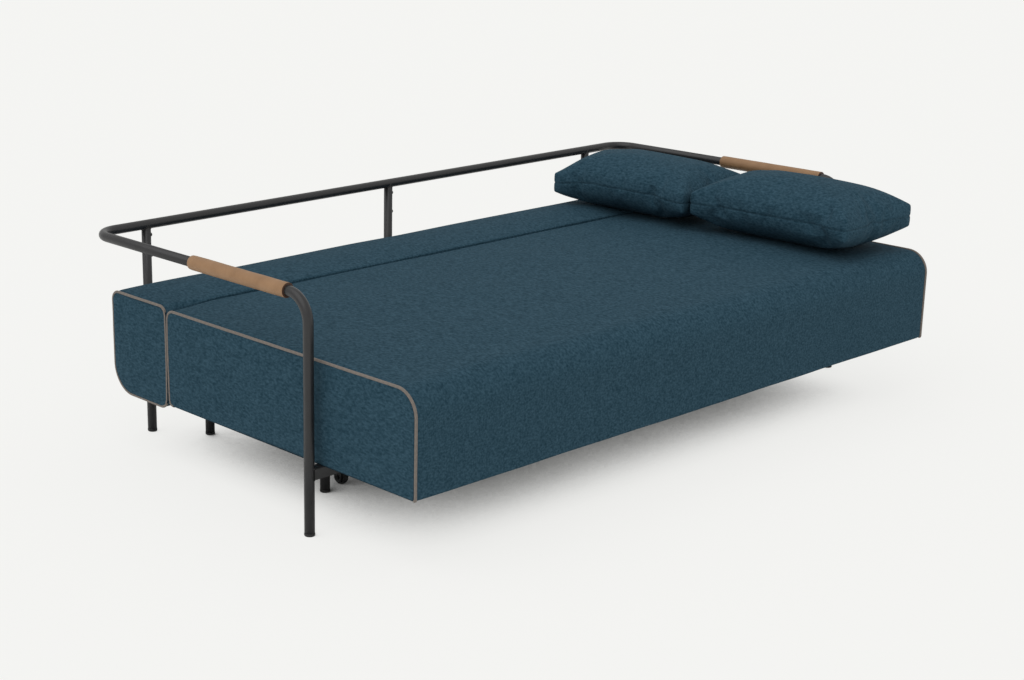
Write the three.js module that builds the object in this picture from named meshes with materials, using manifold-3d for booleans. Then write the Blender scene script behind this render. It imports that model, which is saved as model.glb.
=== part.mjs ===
// A sofa bed in its bed position: an upholstered seat block with a back block lying level behind it, inside a
// bent-tube frame whose rail runs round the back and down over the front legs. Two pillows lie at the right end.
// Millimetres, +Z up, +X to the right seen from the front, the front faces -Y. The origin is on the floor, under
// the middle of the whole object.
import * as THREE from "three";
import { mergeVertices } from "three/addons/utils/BufferGeometryUtils.js";
import Module from "manifold-3d";

const wasm = await Module();
wasm.setup();

// Driving dimensions. Depths are measured forwards from the centre line of the back rail.
const gap = 0.3; // between pieces that touch
const overrun = 10; // how far a cutting body runs past what it cuts

const tube = { radius: 12.5, socketRadius: 10, socketDepth: 28 };
const rail = {
  height: 574, // centre line of the rail and both arms
  endGap: 17.5, // clear distance between an arm and the block's end panel
  bendRadius: 66,
  legDepth: 863, // centre line of the front legs
  jointDepth: 610, // where the rail and the arm tube meet, inside the sleeve
};
const sleeve = { start: 428, end: 792, radius: 18, edge: 3.5, bore: 12.9 };
const post = { endInset: 134, copeDepth: 7 }; // the outer posts stand this far in from the end panels
const screw = { highZ: 545, lowZ: 489, headRadius: 5.5, headHeight: 4.6, headEdge: 1.6, shank: 3, length: 12 };
const foot = { radius: 13, height: 7, edge: 1.5, clearance: 0.3, length: 24, tip: 1 };

const seat = {
  halfLength: 1000, // half of the lying length, which everything along X follows
  rearDepth: 270, // the seam between seat and back
  frontDepth: 1187,
  bottom: 167,
  top: 419, // at the end panel's piping
  crown: 9,
  endBulge: 4,
  frontTopRadius: 62,
  rearTopRadius: 26,
  rearBottomRadius: 18,
  frontBottomRadius: 7,
};
const back = {
  halfLength: seat.halfLength,
  rearDepth: 30,
  bottom: 154,
  top: 425,
  crown: 9,
  endBulge: 4,
  seam: 3.6, // clear distance from the seat's rear face
  rearTopRadius: 26,
  rearBottomRadius: 77,
  frontTopRadius: 26,
  frontBottomRadius: 30,
  cornerPlanRadius: 12,
};
const board = { thickness: 15, inset: 40, corner: 20 };
const piping = { radius: 3.5, proud: 1.6, joinGap: 1.2 };

const bar = { height: 30, depth: 25, corner: 3 }; // rectangular tube of the stretchers and guide rails
const guide = { endInset: 209.5, width: 25 };
const innerLeg = { sideGap: 0.5, rearDepth: 127, frontDepth: 667, below: 4 }; // beside a guide rail
const runner = { width: 22, start: 292, end: 785, nose: 8 };

const castor = {
  endInset: 250,
  depth: 652,
  radius: 20,
  width: 18,
  edge: 3,
  hubRadius: 8,
  hubProud: 0.7,
  plate: 2.5,
  sideGap: 1.2,
  bracketDepth: 34,
  footRadius: 13,
};
const axle = { radius: 3, clearance: 0.1, headRadius: 6, headHeight: 2.4 };
const slider = { halfWidth: 19, height: 40, bottom: 160, clearance: 0.5, plateHeight: 125, plateThickness: 8 };

const pillow = {
  halfWidth: 168, // across, along X
  halfLength: 274, // along Y
  thickness: 196,
  edge: 52, // the blunt edge
  drawnInShare: 0.045,
  cornerShare: 0.05,
  swellPower: 2.3,
  swellEase: 0.82,
  pressed: 6, // how much its underside is flattened
};
const pillowPlaces = {
  rear: { endInset: 176, depth: 302, turnShare: 0.006 },
  front: { endInset: 166, depth: 858, turnShare: -0.008 },
};

const crownShares = { acrossPower: 0.6, alongPower: 12 };
const counts = { tubeSides: 16, bendSteps: 6, pipingSides: 8, roundSides: 20, smallSides: 12, arcSteps: 5 };

// Where the pieces along X stand, from the blocks' ends.
const armX = seat.halfLength + rail.endGap + tube.radius;
const postX = seat.halfLength - post.endInset;
const guideX = seat.halfLength - guide.endInset;
const innerLegSet = guide.width / 2 + tube.radius + innerLeg.sideGap;
const castorX = seat.halfLength - castor.endInset;
const pillowX = (place) => seat.halfLength - place.endInset;

// The whole object's middle lies half way between the sliders' rear faces and the seat's front.
const middle = (seat.frontDepth + piping.proud - slider.halfWidth) / 2;
const at = (depth) => middle - depth; // Y of a depth measured from the rail

const finishes = {
  steel: new THREE.MeshStandardMaterial({ color: 0x35363a, roughness: 0.55, metalness: 0.4 }),
  fabric: new THREE.MeshStandardMaterial({ color: 0x2c4858, roughness: 0.95, metalness: 0 }),
  piping: new THREE.MeshStandardMaterial({ color: 0x8f8074, roughness: 0.8, metalness: 0 }),
  leather: new THREE.MeshStandardMaterial({ color: 0xb08964, roughness: 0.6, metalness: 0 }),
  plywood: new THREE.MeshStandardMaterial({ color: 0xc8a878, roughness: 0.8, metalness: 0 }),
  plastic: new THREE.MeshStandardMaterial({ color: 0x222224, roughness: 0.6, metalness: 0 }),
  tread: new THREE.MeshStandardMaterial({ color: 0x2a2a2b, roughness: 0.85, metalness: 0 }),
  screw: new THREE.MeshStandardMaterial({ color: 0x2e2e30, roughness: 0.4, metalness: 0.8 }),
};

const model = new THREE.Group();
const groups = {};
for (const name of ["frame", "seat", "back", "pillows"]) {
  groups[name] = new THREE.Group();
  model.add(groups[name]);
}

function addMesh(group, name, geometry, finish, place = [0, 0, 0]) {
  const mesh = new THREE.Mesh(geometry, finish);
  mesh.name = name;
  mesh.position.set(...place);
  groups[group].add(mesh);
  return mesh;
}

// Solids: a closed geometry to a solid and back, so that pieces can be cut and joined.
function solidOf(geometry, [x, y, z] = [0, 0, 0]) {
  const plain = geometry.clone();
  plain.deleteAttribute("normal");
  plain.deleteAttribute("uv");
  plain.translate(x, y, z);
  const merged = mergeVertices(plain, 1e-4);
  return new wasm.Manifold(
    new wasm.Mesh({
      numProp: 3,
      vertProperties: new Float32Array(merged.attributes.position.array),
      triVerts: new Uint32Array(merged.index.array),
    }),
  );
}

function geometryOf(solid) {
  const mesh = solid.getMesh();
  const geometry = new THREE.BufferGeometry();
  geometry.setAttribute("position", new THREE.BufferAttribute(mesh.vertProperties, 3));
  geometry.setIndex(new THREE.BufferAttribute(mesh.triVerts, 1));
  geometry.computeVertexNormals();
  return geometry;
}

const box = (x, y, z) => new THREE.BoxGeometry(x, y, z);
const upright = (radius, height, sides) => new THREE.CylinderGeometry(radius, radius, height, sides).rotateX(Math.PI / 2);
const across = (radius, length, sides) => new THREE.CylinderGeometry(radius, radius, length, sides).rotateZ(Math.PI / 2);
const alongDepth = (radius, length, sides) => new THREE.CylinderGeometry(radius, radius, length, sides);

// A turned piece on the Z axis from its profile, given as [radius, height] pairs.
function turned(profile, sides) {
  const points = profile.map(([radius, height]) => new THREE.Vector2(radius, height));
  return new THREE.LatheGeometry(points, sides).rotateX(Math.PI / 2);
}

// A path through chosen stations: a straight run needs only its two ends, a bend has several.
class StationPath extends THREE.Curve {
  constructor(points, tangents) {
    super();
    this.points = points;
    this.tangents = tangents;
  }
  station(share) {
    return Math.round(share * (this.points.length - 1));
  }
  getPoint(share) {
    return this.points[this.station(share)].clone();
  }
  getPointAt(share) {
    return this.getPoint(share);
  }
  getTangentAt(share) {
    return this.tangents[this.station(share)].clone();
  }
  getSpacedPoints() {
    return this.points.map((point) => point.clone());
  }
}

// The stations of a polyline whose corners are bends of a given radius.
function bentPath(corners, radius, steps) {
  const points = [corners[0].clone()];
  const tangents = [corners[1].clone().sub(corners[0]).normalize()];
  for (let i = 1; i < corners.length - 1; i++) {
    const into = corners[i].clone().sub(corners[i - 1]).normalize();
    const out = corners[i + 1].clone().sub(corners[i]).normalize();
    const angle = into.angleTo(out);
    const reach = radius * Math.tan(angle / 2);
    const centre = corners[i]
      .clone()
      .addScaledVector(into, -reach)
      .addScaledVector(out.clone().addScaledVector(into, -into.dot(out)).normalize(), radius);
    const axis = into.clone().cross(out).normalize();
    const arm = corners[i].clone().addScaledVector(into, -reach).sub(centre);
    for (let step = 0; step <= steps; step++) {
      const turn = (angle * step) / steps;
      points.push(arm.clone().applyAxisAngle(axis, turn).add(centre));
      tangents.push(into.clone().applyAxisAngle(axis, turn));
    }
  }
  points.push(corners.at(-1).clone());
  tangents.push(corners.at(-1).clone().sub(corners.at(-2)).normalize());
  return new StationPath(points, tangents);
}

function roundRod(path, radius, sides) {
  const turn = (i) => (2 * Math.PI * i) / sides;
  const section = new THREE.Shape(
    Array.from({ length: sides }, (_, i) => new THREE.Vector2(Math.cos(turn(i)), Math.sin(turn(i))).multiplyScalar(radius)),
  );
  return new THREE.ExtrudeGeometry(section, { steps: path.points.length - 1, extrudePath: path, bevelEnabled: false });
}

// An outline with rounded corners, from [u, v, radius] corners listed anticlockwise.
function roundedOutline(corners, steps) {
  const outline = [];
  corners.forEach(([u, v, radius], i) => {
    const here = new THREE.Vector2(u, v);
    const before = corners.at(i - 1);
    const after = corners[(i + 1) % corners.length];
    const into = here.clone().sub(new THREE.Vector2(before[0], before[1])).normalize();
    const out = new THREE.Vector2(after[0], after[1]).sub(here).normalize();
    const centre = here.clone().addScaledVector(into, -radius).addScaledVector(out, radius);
    const first = Math.atan2(-out.y, -out.x);
    for (let step = 0; step <= steps; step++) {
      const turn = first + (Math.PI / 2) * (step / steps);
      outline.push(new THREE.Vector2(centre.x + radius * Math.cos(turn), centre.y + radius * Math.sin(turn)));
    }
  });
  return outline;
}

// A flat bar or plate with rounded corners, its section in X and Z, run along Y from one depth to another.
function barAlongDepth(width, height, corner, start, end) {
  const outline = roundedOutline(
    [
      [-width / 2, -height / 2, corner],
      [width / 2, -height / 2, corner],
      [width / 2, height / 2, corner],
      [-width / 2, height / 2, corner],
    ],
    2,
  );
  const geometry = new THREE.ExtrudeGeometry(new THREE.Shape(outline), {
    depth: end - start,
    bevelEnabled: false,
  });
  return geometry.rotateX(Math.PI / 2).translate(0, at(start), 0);
}

// The same bar run along X, centred.
function barAcross(depth, height, corner, length) {
  const outline = roundedOutline(
    [
      [-depth / 2, -height / 2, corner],
      [depth / 2, -height / 2, corner],
      [depth / 2, height / 2, corner],
      [-depth / 2, height / 2, corner],
    ],
    2,
  );
  const geometry = new THREE.ExtrudeGeometry(new THREE.Shape(outline), { depth: length, bevelEnabled: false });
  return geometry.translate(0, 0, -length / 2).applyMatrix4(
    new THREE.Matrix4().makeBasis(new THREE.Vector3(0, 1, 0), new THREE.Vector3(0, 0, 1), new THREE.Vector3(1, 0, 0)),
  );
}

const sides = [
  ["left", -1],
  ["right", 1],
];

// The frame: a rail with both rear corners, and an arm tube on each side that bends down into the front leg. They
// meet end to end inside the arm sleeves, on a plug.
function railTube() {
  const path = bentPath(
    [
      new THREE.Vector3(-armX, at(rail.jointDepth) + gap / 2, rail.height),
      new THREE.Vector3(-armX, at(0), rail.height),
      new THREE.Vector3(armX, at(0), rail.height),
      new THREE.Vector3(armX, at(rail.jointDepth) + gap / 2, rail.height),
    ],
    rail.bendRadius,
    counts.bendSteps,
  );
  let solid = solidOf(roundRod(path, tube.radius, counts.tubeSides));
  for (const [, side] of sides) {
    const socket = alongDepth(tube.socketRadius, 2 * tube.socketDepth, counts.smallSides);
    solid = solid.subtract(solidOf(socket, [side * armX, at(rail.jointDepth), rail.height]));
  }
  return geometryOf(solid);
}

const legBottom = foot.height + gap;

function armTube(side) {
  const path = bentPath(
    [
      new THREE.Vector3(side * armX, at(rail.jointDepth) - gap / 2, rail.height),
      new THREE.Vector3(side * armX, at(rail.legDepth), rail.height),
      new THREE.Vector3(side * armX, at(rail.legDepth), legBottom),
    ],
    rail.bendRadius,
    counts.bendSteps,
  );
  const rod = solidOf(roundRod(path, tube.radius, counts.tubeSides));
  const upper = alongDepth(tube.socketRadius, 2 * tube.socketDepth, counts.smallSides);
  const lower = upright(tube.socketRadius, 2 * tube.socketDepth, counts.tubeSides);
  return geometryOf(
    rod
      .subtract(solidOf(upper, [side * armX, at(rail.jointDepth), rail.height]))
      .subtract(solidOf(lower, [side * armX, at(rail.legDepth), legBottom])),
  );
}

function sleeveTube() {
  const half = (sleeve.end - sleeve.start) / 2;
  const profile = [[sleeve.bore, -half], [sleeve.radius - sleeve.edge, -half]];
  for (let step = 1; step <= 3; step++) {
    const turn = ((Math.PI / 2) * step) / 3;
    profile.push([
      sleeve.radius - sleeve.edge + sleeve.edge * Math.sin(turn),
      -half + sleeve.edge - sleeve.edge * Math.cos(turn),
    ]);
  }
  const mirrored = profile.map(([radius, height]) => [radius, -height]).reverse();
  return turned([...profile, ...mirrored, profile[0]], counts.roundSides).rotateX(-Math.PI / 2);
}

addMesh("frame", "back_rail", railTube(), finishes.steel);
for (const [name, side] of sides) {
  addMesh("frame", `arm_tube_${name}`, armTube(side), finishes.steel);
  const plug = alongDepth(tube.socketRadius - gap, 2 * (tube.socketDepth - gap), counts.smallSides);
  addMesh("frame", `arm_joint_plug_${name}`, plug, finishes.steel, [
    side * armX,
    at(rail.jointDepth),
    rail.height,
  ]);
  addMesh("frame", `arm_sleeve_${name}`, sleeveTube(), finishes.leather, [
    side * armX,
    at((sleeve.start + sleeve.end) / 2),
    rail.height,
  ]);
}

// The rear posts stand under the rail, each coped to it, with two screws on its right side.
function postTube() {
  const top = rail.height - post.copeDepth;
  const height = top - legBottom;
  const cope = across(tube.radius + gap, 4 * tube.radius, counts.tubeSides);
  const socket = upright(tube.socketRadius, 2 * tube.socketDepth, counts.tubeSides);
  let solid = solidOf(upright(tube.radius, height, counts.tubeSides), [0, 0, legBottom + height / 2])
    .subtract(solidOf(cope, [0, 0, rail.height]))
    .subtract(solidOf(socket, [0, 0, legBottom]));
  for (const z of [screw.highZ, screw.lowZ]) {
    const hole = across(screw.shank + gap, 2 * (screw.length + gap), counts.smallSides);
    solid = solid.subtract(solidOf(hole, [tube.radius, 0, z]));
  }
  return geometryOf(solid);
}

function panScrew() {
  const profile = [
    [0, -screw.length],
    [screw.shank, -screw.length],
    [screw.shank, gap],
    [screw.headRadius, gap],
    [screw.headRadius, screw.headHeight - screw.headEdge],
    [screw.headRadius - screw.headEdge, screw.headHeight],
    [0, screw.headHeight],
  ];
  return turned(profile, counts.smallSides).rotateY(Math.PI / 2);
}

function footPlug() {
  const profile = [
    [0, 0],
    [foot.radius - foot.edge, 0],
    [foot.radius, foot.edge],
    [foot.radius, foot.height],
    [tube.socketRadius - foot.clearance, foot.height],
    [tube.socketRadius - foot.clearance, foot.length - foot.tip],
    [tube.socketRadius - foot.clearance - foot.tip, foot.length],
    [0, foot.length],
  ];
  return turned(profile, counts.tubeSides);
}

const postPlaces = [
  ["left", -postX],
  ["centre", 0],
  ["right", postX],
];
for (const [name, x] of postPlaces) {
  addMesh("frame", `rear_post_${name}`, postTube(), finishes.steel, [x, at(0), 0]);
  addMesh("frame", `foot_post_${name}`, footPlug(), finishes.plastic, [x, at(0), 0]);
  addMesh("frame", `post_screw_upper_${name}`, panScrew(), finishes.screw, [x + tube.radius, at(0), screw.highZ]);
  addMesh("frame", `post_screw_lower_${name}`, panScrew(), finishes.screw, [x + tube.radius, at(0), screw.lowZ]);
}
for (const [name, side] of sides)
  addMesh("frame", `foot_arm_${name}`, footPlug(), finishes.plastic, [side * armX, at(rail.legDepth), 0]);

// The lower frame: a stretcher at the back and one at the front, joined by two guide rails on legs of their own.
const supportTop = back.bottom - gap;
const supportMiddle = supportTop - bar.height / 2;
const frontBarMiddle = seat.bottom - gap - bar.height / 2; // higher, so that the seat block slides over it
const rearBarDepth = tube.radius + gap + bar.depth / 2;

function frontStretcher() {
  const reach = 2 * armX - tube.radius;
  let solid = solidOf(barAcross(bar.depth, bar.height, bar.corner, reach));
  for (const [, side] of sides) {
    const leg = upright(tube.radius + gap, bar.height + 2 * overrun, counts.tubeSides);
    solid = solid.subtract(solidOf(leg, [side * armX, 0, 0]));
  }
  const parts = solid.decompose().sort((a, b) => b.volume() - a.volume());
  return geometryOf(parts[0]);
}

addMesh(
  "frame",
  "rear_stretcher",
  barAcross(bar.depth, bar.height, bar.corner, 2 * (postX + tube.radius)),
  finishes.steel,
  [0, at(rearBarDepth), supportMiddle],
);
addMesh("frame", "front_stretcher", frontStretcher(), finishes.steel, [0, at(rail.legDepth), frontBarMiddle]);

const guideStart = rearBarDepth + bar.depth / 2 + gap;
const guideEnd = rail.legDepth - bar.depth / 2 - gap;
const legTop = supportTop - innerLeg.below;

function innerLegTube() {
  const height = legTop - legBottom;
  const socket = upright(tube.socketRadius, 2 * tube.socketDepth, counts.tubeSides);
  return geometryOf(
    solidOf(upright(tube.radius, height, counts.tubeSides), [0, 0, legBottom + height / 2]).subtract(
      solidOf(socket, [0, 0, legBottom]),
    ),
  );
}

for (const [name, side] of sides) {
  addMesh(
    "frame",
    `guide_rail_${name}`,
    barAlongDepth(guide.width, bar.height, bar.corner, guideStart, guideEnd),
    finishes.steel,
    [side * guideX, 0, supportMiddle],
  );
  // The rear leg stands against the rail's inner face and the front one against its outer face.
  for (const [place, x, depth] of [
    ["rear", guideX - innerLegSet, innerLeg.rearDepth],
    ["front", guideX + innerLegSet, innerLeg.frontDepth],
  ]) {
    addMesh("frame", `inner_leg_${place}_${name}`, innerLegTube(), finishes.steel, [side * x, at(depth), 0]);
    addMesh("frame", `foot_inner_${place}_${name}`, footPlug(), finishes.plastic, [side * x, at(depth), 0]);
  }
}

// Upholstered blocks: one outline in depth and height run the whole length, crowned where the filling swells.
// The outline's corners are [depth, height, radius], seen from the left end with the front at the right.
function blockOutline(block, front, topSteps) {
  const corners = [
    [block.rearDepth, block.bottom, block.rearBottomRadius],
    [front, block.bottom, block.frontBottomRadius],
    [front, block.top, block.frontTopRadius],
    [block.rearDepth, block.top, block.rearTopRadius],
  ];
  const outline = roundedOutline(corners, counts.arcSteps);
  // The long straight runs get points of their own, so that the top can swell.
  const full = [];
  outline.forEach((point, i) => {
    full.push(point);
    const next = outline[(i + 1) % outline.length];
    const run = point.distanceTo(next);
    const pieces = run > (front - block.rearDepth) / 3 ? topSteps : 1;
    for (let step = 1; step < pieces; step++) full.push(point.clone().lerp(next, step / pieces));
  });
  return full;
}

// The filling swells the top: fully in the middle, and not at all at the edges and ends.
function crownAcross(depth, block, front) {
  const share = (depth - block.rearDepth) / (front - block.rearDepth);
  return Math.sin(Math.PI * THREE.MathUtils.clamp(share, 0, 1)) ** crownShares.acrossPower;
}

function crownAlong(share) {
  return Math.sqrt(Math.max(1 - Math.abs(share) ** crownShares.alongPower, 0));
}

const lengthShares = [-1, -0.985, -0.955, -0.9, -0.75, -0.4, 0, 0.4, 0.75, 0.9, 0.955, 0.985, 1];
const panelShares = [0.86, 0.55];

function blockSolid(block, front, topSteps, planRadius) {
  const outline = blockOutline(block, front, topSteps);
  const centre = new THREE.Vector2((block.rearDepth + front) / 2, (block.bottom + block.top) / 2);
  const rings = [];
  const ring = (x, scale, lift) => {
    const points = outline.map((point) => {
      const moved = point.clone().sub(centre).multiplyScalar(scale).add(centre);
      const swelling = point.y > block.top - gap ? block.crown * crownAcross(point.x, block, front) : 0;
      return new THREE.Vector3(x, at(moved.x), moved.y + lift * swelling);
    });
    rings.push(points);
  };
  for (const share of [...panelShares].reverse())
    ring(-block.halfLength - block.endBulge * (1 - share ** 2), share, 0);
  for (const share of lengthShares) ring(share * block.halfLength, 1, crownAlong(share));
  for (const share of panelShares) ring(block.halfLength + block.endBulge * (1 - share ** 2), share, 0);
  const count = outline.length;
  const positions = rings.flat().flatMap((point) => point.toArray());
  const faces = [];
  for (let i = 0; i < rings.length - 1; i++)
    for (let j = 0; j < count; j++) {
      const a = i * count + j;
      const b = i * count + ((j + 1) % count);
      faces.push(a, a + count, b, b, a + count, b + count);
    }
  const capCentre = (x) => [x, at(centre.x), centre.y];
  const first = positions.length / 3;
  positions.push(...capCentre(-block.halfLength - block.endBulge), ...capCentre(block.halfLength + block.endBulge));
  const last = (rings.length - 1) * count;
  for (let j = 0; j < count; j++) {
    const next = (j + 1) % count;
    faces.push(first, j, next);
    faces.push(first + 1, last + next, last + j);
  }
  const geometry = new THREE.BufferGeometry();
  geometry.setAttribute("position", new THREE.Float32BufferAttribute(positions, 3));
  geometry.setIndex(faces);
  const solid = solidOf(geometry);
  return planRadius ? solid.intersect(planSolid(block, front, planRadius)) : solid;
}

// An upright body over the block's plan with its two rear corners rounded, so that the block passes inside the
// rail's bends when it is lifted.
function planSolid(block, front, planRadius) {
  const half = block.halfLength + block.endBulge;
  const outline = roundedOutline(
    [
      [-half, at(front + overrun), gap],
      [half, at(front + overrun), gap],
      [half, at(block.rearDepth), planRadius],
      [-half, at(block.rearDepth), planRadius],
    ],
    counts.arcSteps,
  );
  const height = block.top - block.bottom + 2 * overrun + block.crown;
  const geometry = new THREE.ExtrudeGeometry(new THREE.Shape(outline), { depth: height, bevelEnabled: false });
  return solidOf(geometry, [0, 0, block.bottom - overrun]);
}

// Piping follows the outline of an end panel. On the seat it runs up the rear, over the top and down the front; on
// the back it runs all the way round and its ends meet underneath.
function pipingPath(block, front, x, allRound) {
  const set = piping.radius - piping.proud;
  const corners = [
    [front - set, block.bottom + set, block.frontBottomRadius],
    [front - set, block.top - set, block.frontTopRadius],
    [block.rearDepth + set, block.top - set, block.rearTopRadius],
    [block.rearDepth + set, block.bottom + set, block.rearBottomRadius],
  ];
  const rounded = roundedOutline(
    corners.map(([u, v, radius]) => [u, v, Math.max(radius - set, piping.radius * 2)]),
    counts.arcSteps,
  );
  const bend = counts.arcSteps + 1;
  const foot = Math.floor(bend / 2);
  const join = (front + block.rearDepth) / 2;
  const low = block.bottom + set;
  const route = allRound
    ? [new THREE.Vector2(join + piping.joinGap / 2, low), ...rounded, new THREE.Vector2(join - piping.joinGap / 2, low)]
    : [...rounded.slice(bend - 1 - foot), ...rounded.slice(0, 0)];
  const points = route.map((point) => new THREE.Vector3(x, at(point.x), point.y));
  const tangents = points.map((point, i) => {
    const before = points[Math.max(i - 1, 0)];
    const after = points[Math.min(i + 1, points.length - 1)];
    return after.clone().sub(before).normalize();
  });
  return new StationPath(points, tangents);
}

function pipingCord(block, front, side, allRound) {
  const x = side * (block.halfLength - (piping.radius - piping.proud));
  return roundRod(pipingPath(block, front, x, allRound), piping.radius, counts.pipingSides);
}

// The channel that the piping lies in, cut a little wider than the cord.
function pipingChannel(block, front, side, allRound) {
  const x = side * (block.halfLength - (piping.radius - piping.proud));
  const path = pipingPath(block, front, x, allRound);
  return solidOf(roundRod(path, piping.radius + gap, counts.pipingSides));
}

const seatBoardLength = 2 * (seat.halfLength - board.inset);
const seatBoardWidth = seat.frontDepth - seat.rearDepth - 2 * board.inset;
const seatBoardDepth = (seat.frontDepth + seat.rearDepth) / 2;

function boardPlate(length, width, thickness, corner) {
  const outline = roundedOutline(
    [
      [-length / 2, -width / 2, corner],
      [length / 2, -width / 2, corner],
      [length / 2, width / 2, corner],
      [-length / 2, width / 2, corner],
    ],
    counts.arcSteps,
  );
  return new THREE.ExtrudeGeometry(new THREE.Shape(outline), { depth: thickness, bevelEnabled: false });
}

function seatUpholstery() {
  let solid = blockSolid(seat, seat.frontDepth, 8, 0);
  for (const [, side] of sides) solid = solid.subtract(pipingChannel(seat, seat.frontDepth, side, false));
  const pocket = boardPlate(
    seatBoardLength + 2 * gap,
    seatBoardWidth + 2 * gap,
    board.thickness + gap + overrun,
    board.corner,
  );
  return geometryOf(solid.subtract(solidOf(pocket, [0, at(seatBoardDepth), seat.bottom - overrun])));
}

addMesh("seat", "seat_upholstery", seatUpholstery(), finishes.fabric);
addMesh(
  "seat",
  "seat_base_board",
  boardPlate(seatBoardLength, seatBoardWidth, board.thickness, board.corner),
  finishes.plywood,
  [0, at(seatBoardDepth), seat.bottom],
);
for (const [name, side] of sides)
  addMesh("seat", `seat_piping_${name}`, pipingCord(seat, seat.frontDepth, side, false), finishes.piping);

// Runners under the seat board slide on the guide rails, and a castor on each side rolls on the floor.
const runnerBottom = supportTop + gap;
const runnerHeight = seat.bottom - gap - runnerBottom;

function runnerBar() {
  const rise = runnerHeight;
  const outline = new THREE.Shape([
    new THREE.Vector2(runner.start + runner.nose, 0),
    new THREE.Vector2(runner.end - runner.nose, 0),
    new THREE.Vector2(runner.end, rise / 2),
    new THREE.Vector2(runner.end, rise),
    new THREE.Vector2(runner.start, rise),
    new THREE.Vector2(runner.start, rise / 2),
  ]);
  const geometry = new THREE.ExtrudeGeometry(outline, { depth: runner.width, bevelEnabled: false });
  return geometry.applyMatrix4(
    new THREE.Matrix4()
      .makeBasis(new THREE.Vector3(0, -1, 0), new THREE.Vector3(0, 0, 1), new THREE.Vector3(-1, 0, 0))
      .setPosition(runner.width / 2, middle, 0),
  );
}

const forkInner = castor.width / 2 + castor.sideGap;
const forkOuter = forkInner + castor.plate;

// The castor bracket: a folded plate, its two cheeks rounded round the axle.
function castorBracket() {
  const top = seat.bottom - gap;
  const outline = new THREE.Shape([
    new THREE.Vector2(-forkOuter, 0),
    new THREE.Vector2(-forkInner, 0),
    new THREE.Vector2(-forkInner, top - castor.plate),
    new THREE.Vector2(forkInner, top - castor.plate),
    new THREE.Vector2(forkInner, 0),
    new THREE.Vector2(forkOuter, 0),
    new THREE.Vector2(forkOuter, top),
    new THREE.Vector2(-forkOuter, top),
  ]);
  const folded = new THREE.ExtrudeGeometry(outline, { depth: castor.bracketDepth, bevelEnabled: false })
    .rotateX(Math.PI / 2)
    .translate(0, castor.bracketDepth / 2, 0);
  const cheek = new THREE.Shape();
  cheek.moveTo(castor.bracketDepth / 2, top);
  cheek.lineTo(-castor.bracketDepth / 2, top);
  cheek.lineTo(-castor.bracketDepth / 2, top - castor.bracketDepth);
  cheek.lineTo(-castor.footRadius, castor.radius);
  cheek.absarc(0, castor.radius, castor.footRadius, Math.PI, 2 * Math.PI);
  cheek.lineTo(castor.bracketDepth / 2, top - castor.bracketDepth);
  const length = 2 * forkOuter + 2 * overrun;
  const side = new THREE.ExtrudeGeometry(cheek, { depth: length, bevelEnabled: false, curveSegments: 8 })
    .translate(0, 0, -length / 2)
    .applyMatrix4(
      new THREE.Matrix4().makeBasis(new THREE.Vector3(0, 1, 0), new THREE.Vector3(0, 0, 1), new THREE.Vector3(1, 0, 0)),
    );
  const hole = across(axle.radius + axle.clearance, length, counts.smallSides);
  return geometryOf(
    solidOf(folded)
      .intersect(solidOf(side))
      .subtract(solidOf(hole, [0, 0, castor.radius])),
  );
}

function castorWheel() {
  const half = castor.width / 2;
  const bore = axle.radius + axle.clearance;
  const profile = [
    [bore, -half - castor.hubProud],
    [castor.hubRadius, -half - castor.hubProud],
    [castor.hubRadius, -half + castor.edge],
    [castor.radius - 2 * castor.edge, -half + castor.edge],
    [castor.radius - 2 * castor.edge, -half],
    [castor.radius - castor.edge, -half],
    [castor.radius, -half + castor.edge],
    [castor.radius, half - castor.edge],
    [castor.radius - castor.edge, half],
    [castor.radius - 2 * castor.edge, half],
    [castor.radius - 2 * castor.edge, half - castor.edge],
    [castor.hubRadius, half - castor.edge],
    [castor.hubRadius, half + castor.hubProud],
    [bore, half + castor.hubProud],
    [bore, -half - castor.hubProud],
  ];
  return turned(profile, counts.roundSides).rotateY(Math.PI / 2);
}

function castorAxle() {
  const reach = forkOuter + gap;
  const profile = [
    [0, -reach - axle.headHeight],
    [axle.headRadius, -reach - axle.headHeight],
    [axle.headRadius, -reach],
    [axle.radius, -reach],
    [axle.radius, reach],
    [axle.headRadius, reach],
    [axle.headRadius, reach + axle.headHeight],
    [0, reach + axle.headHeight],
  ];
  return turned(profile, counts.smallSides).rotateY(Math.PI / 2);
}

for (const [name, side] of sides) {
  addMesh("seat", `runner_${name}`, runnerBar(), finishes.plastic, [side * guideX, 0, runnerBottom]);
  addMesh("seat", `castor_bracket_${name}`, castorBracket(), finishes.steel, [side * castorX, at(castor.depth), 0]);
  const hub = [side * castorX, at(castor.depth), castor.radius];
  addMesh("seat", `castor_axle_${name}`, castorAxle(), finishes.screw, hub);
  addMesh("seat", `castor_wheel_${name}`, castorWheel(), finishes.tread, hub);
}

// The back block lies on the lower frame. Its board carries three sliders that run up the rear posts.
const backFront = seat.rearDepth - back.seam;
const backBoardHeight = back.top - back.bottom - back.rearTopRadius - back.rearBottomRadius;
const backBoardLow = back.bottom + back.rearBottomRadius;

function backUpholstery() {
  let solid = blockSolid(back, backFront, 4, back.cornerPlanRadius);
  for (const [, side] of sides) solid = solid.subtract(pipingChannel(back, backFront, side, true));
  const pocket = box(
    2 * (back.halfLength - board.inset + gap),
    board.thickness + gap + overrun,
    backBoardHeight + 2 * gap,
  );
  return geometryOf(
    solid.subtract(
      solidOf(pocket, [
        0,
        at(back.rearDepth) - board.thickness - gap + (board.thickness + gap + overrun) / 2,
        backBoardLow + backBoardHeight / 2,
      ]),
    ),
  );
}

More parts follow.
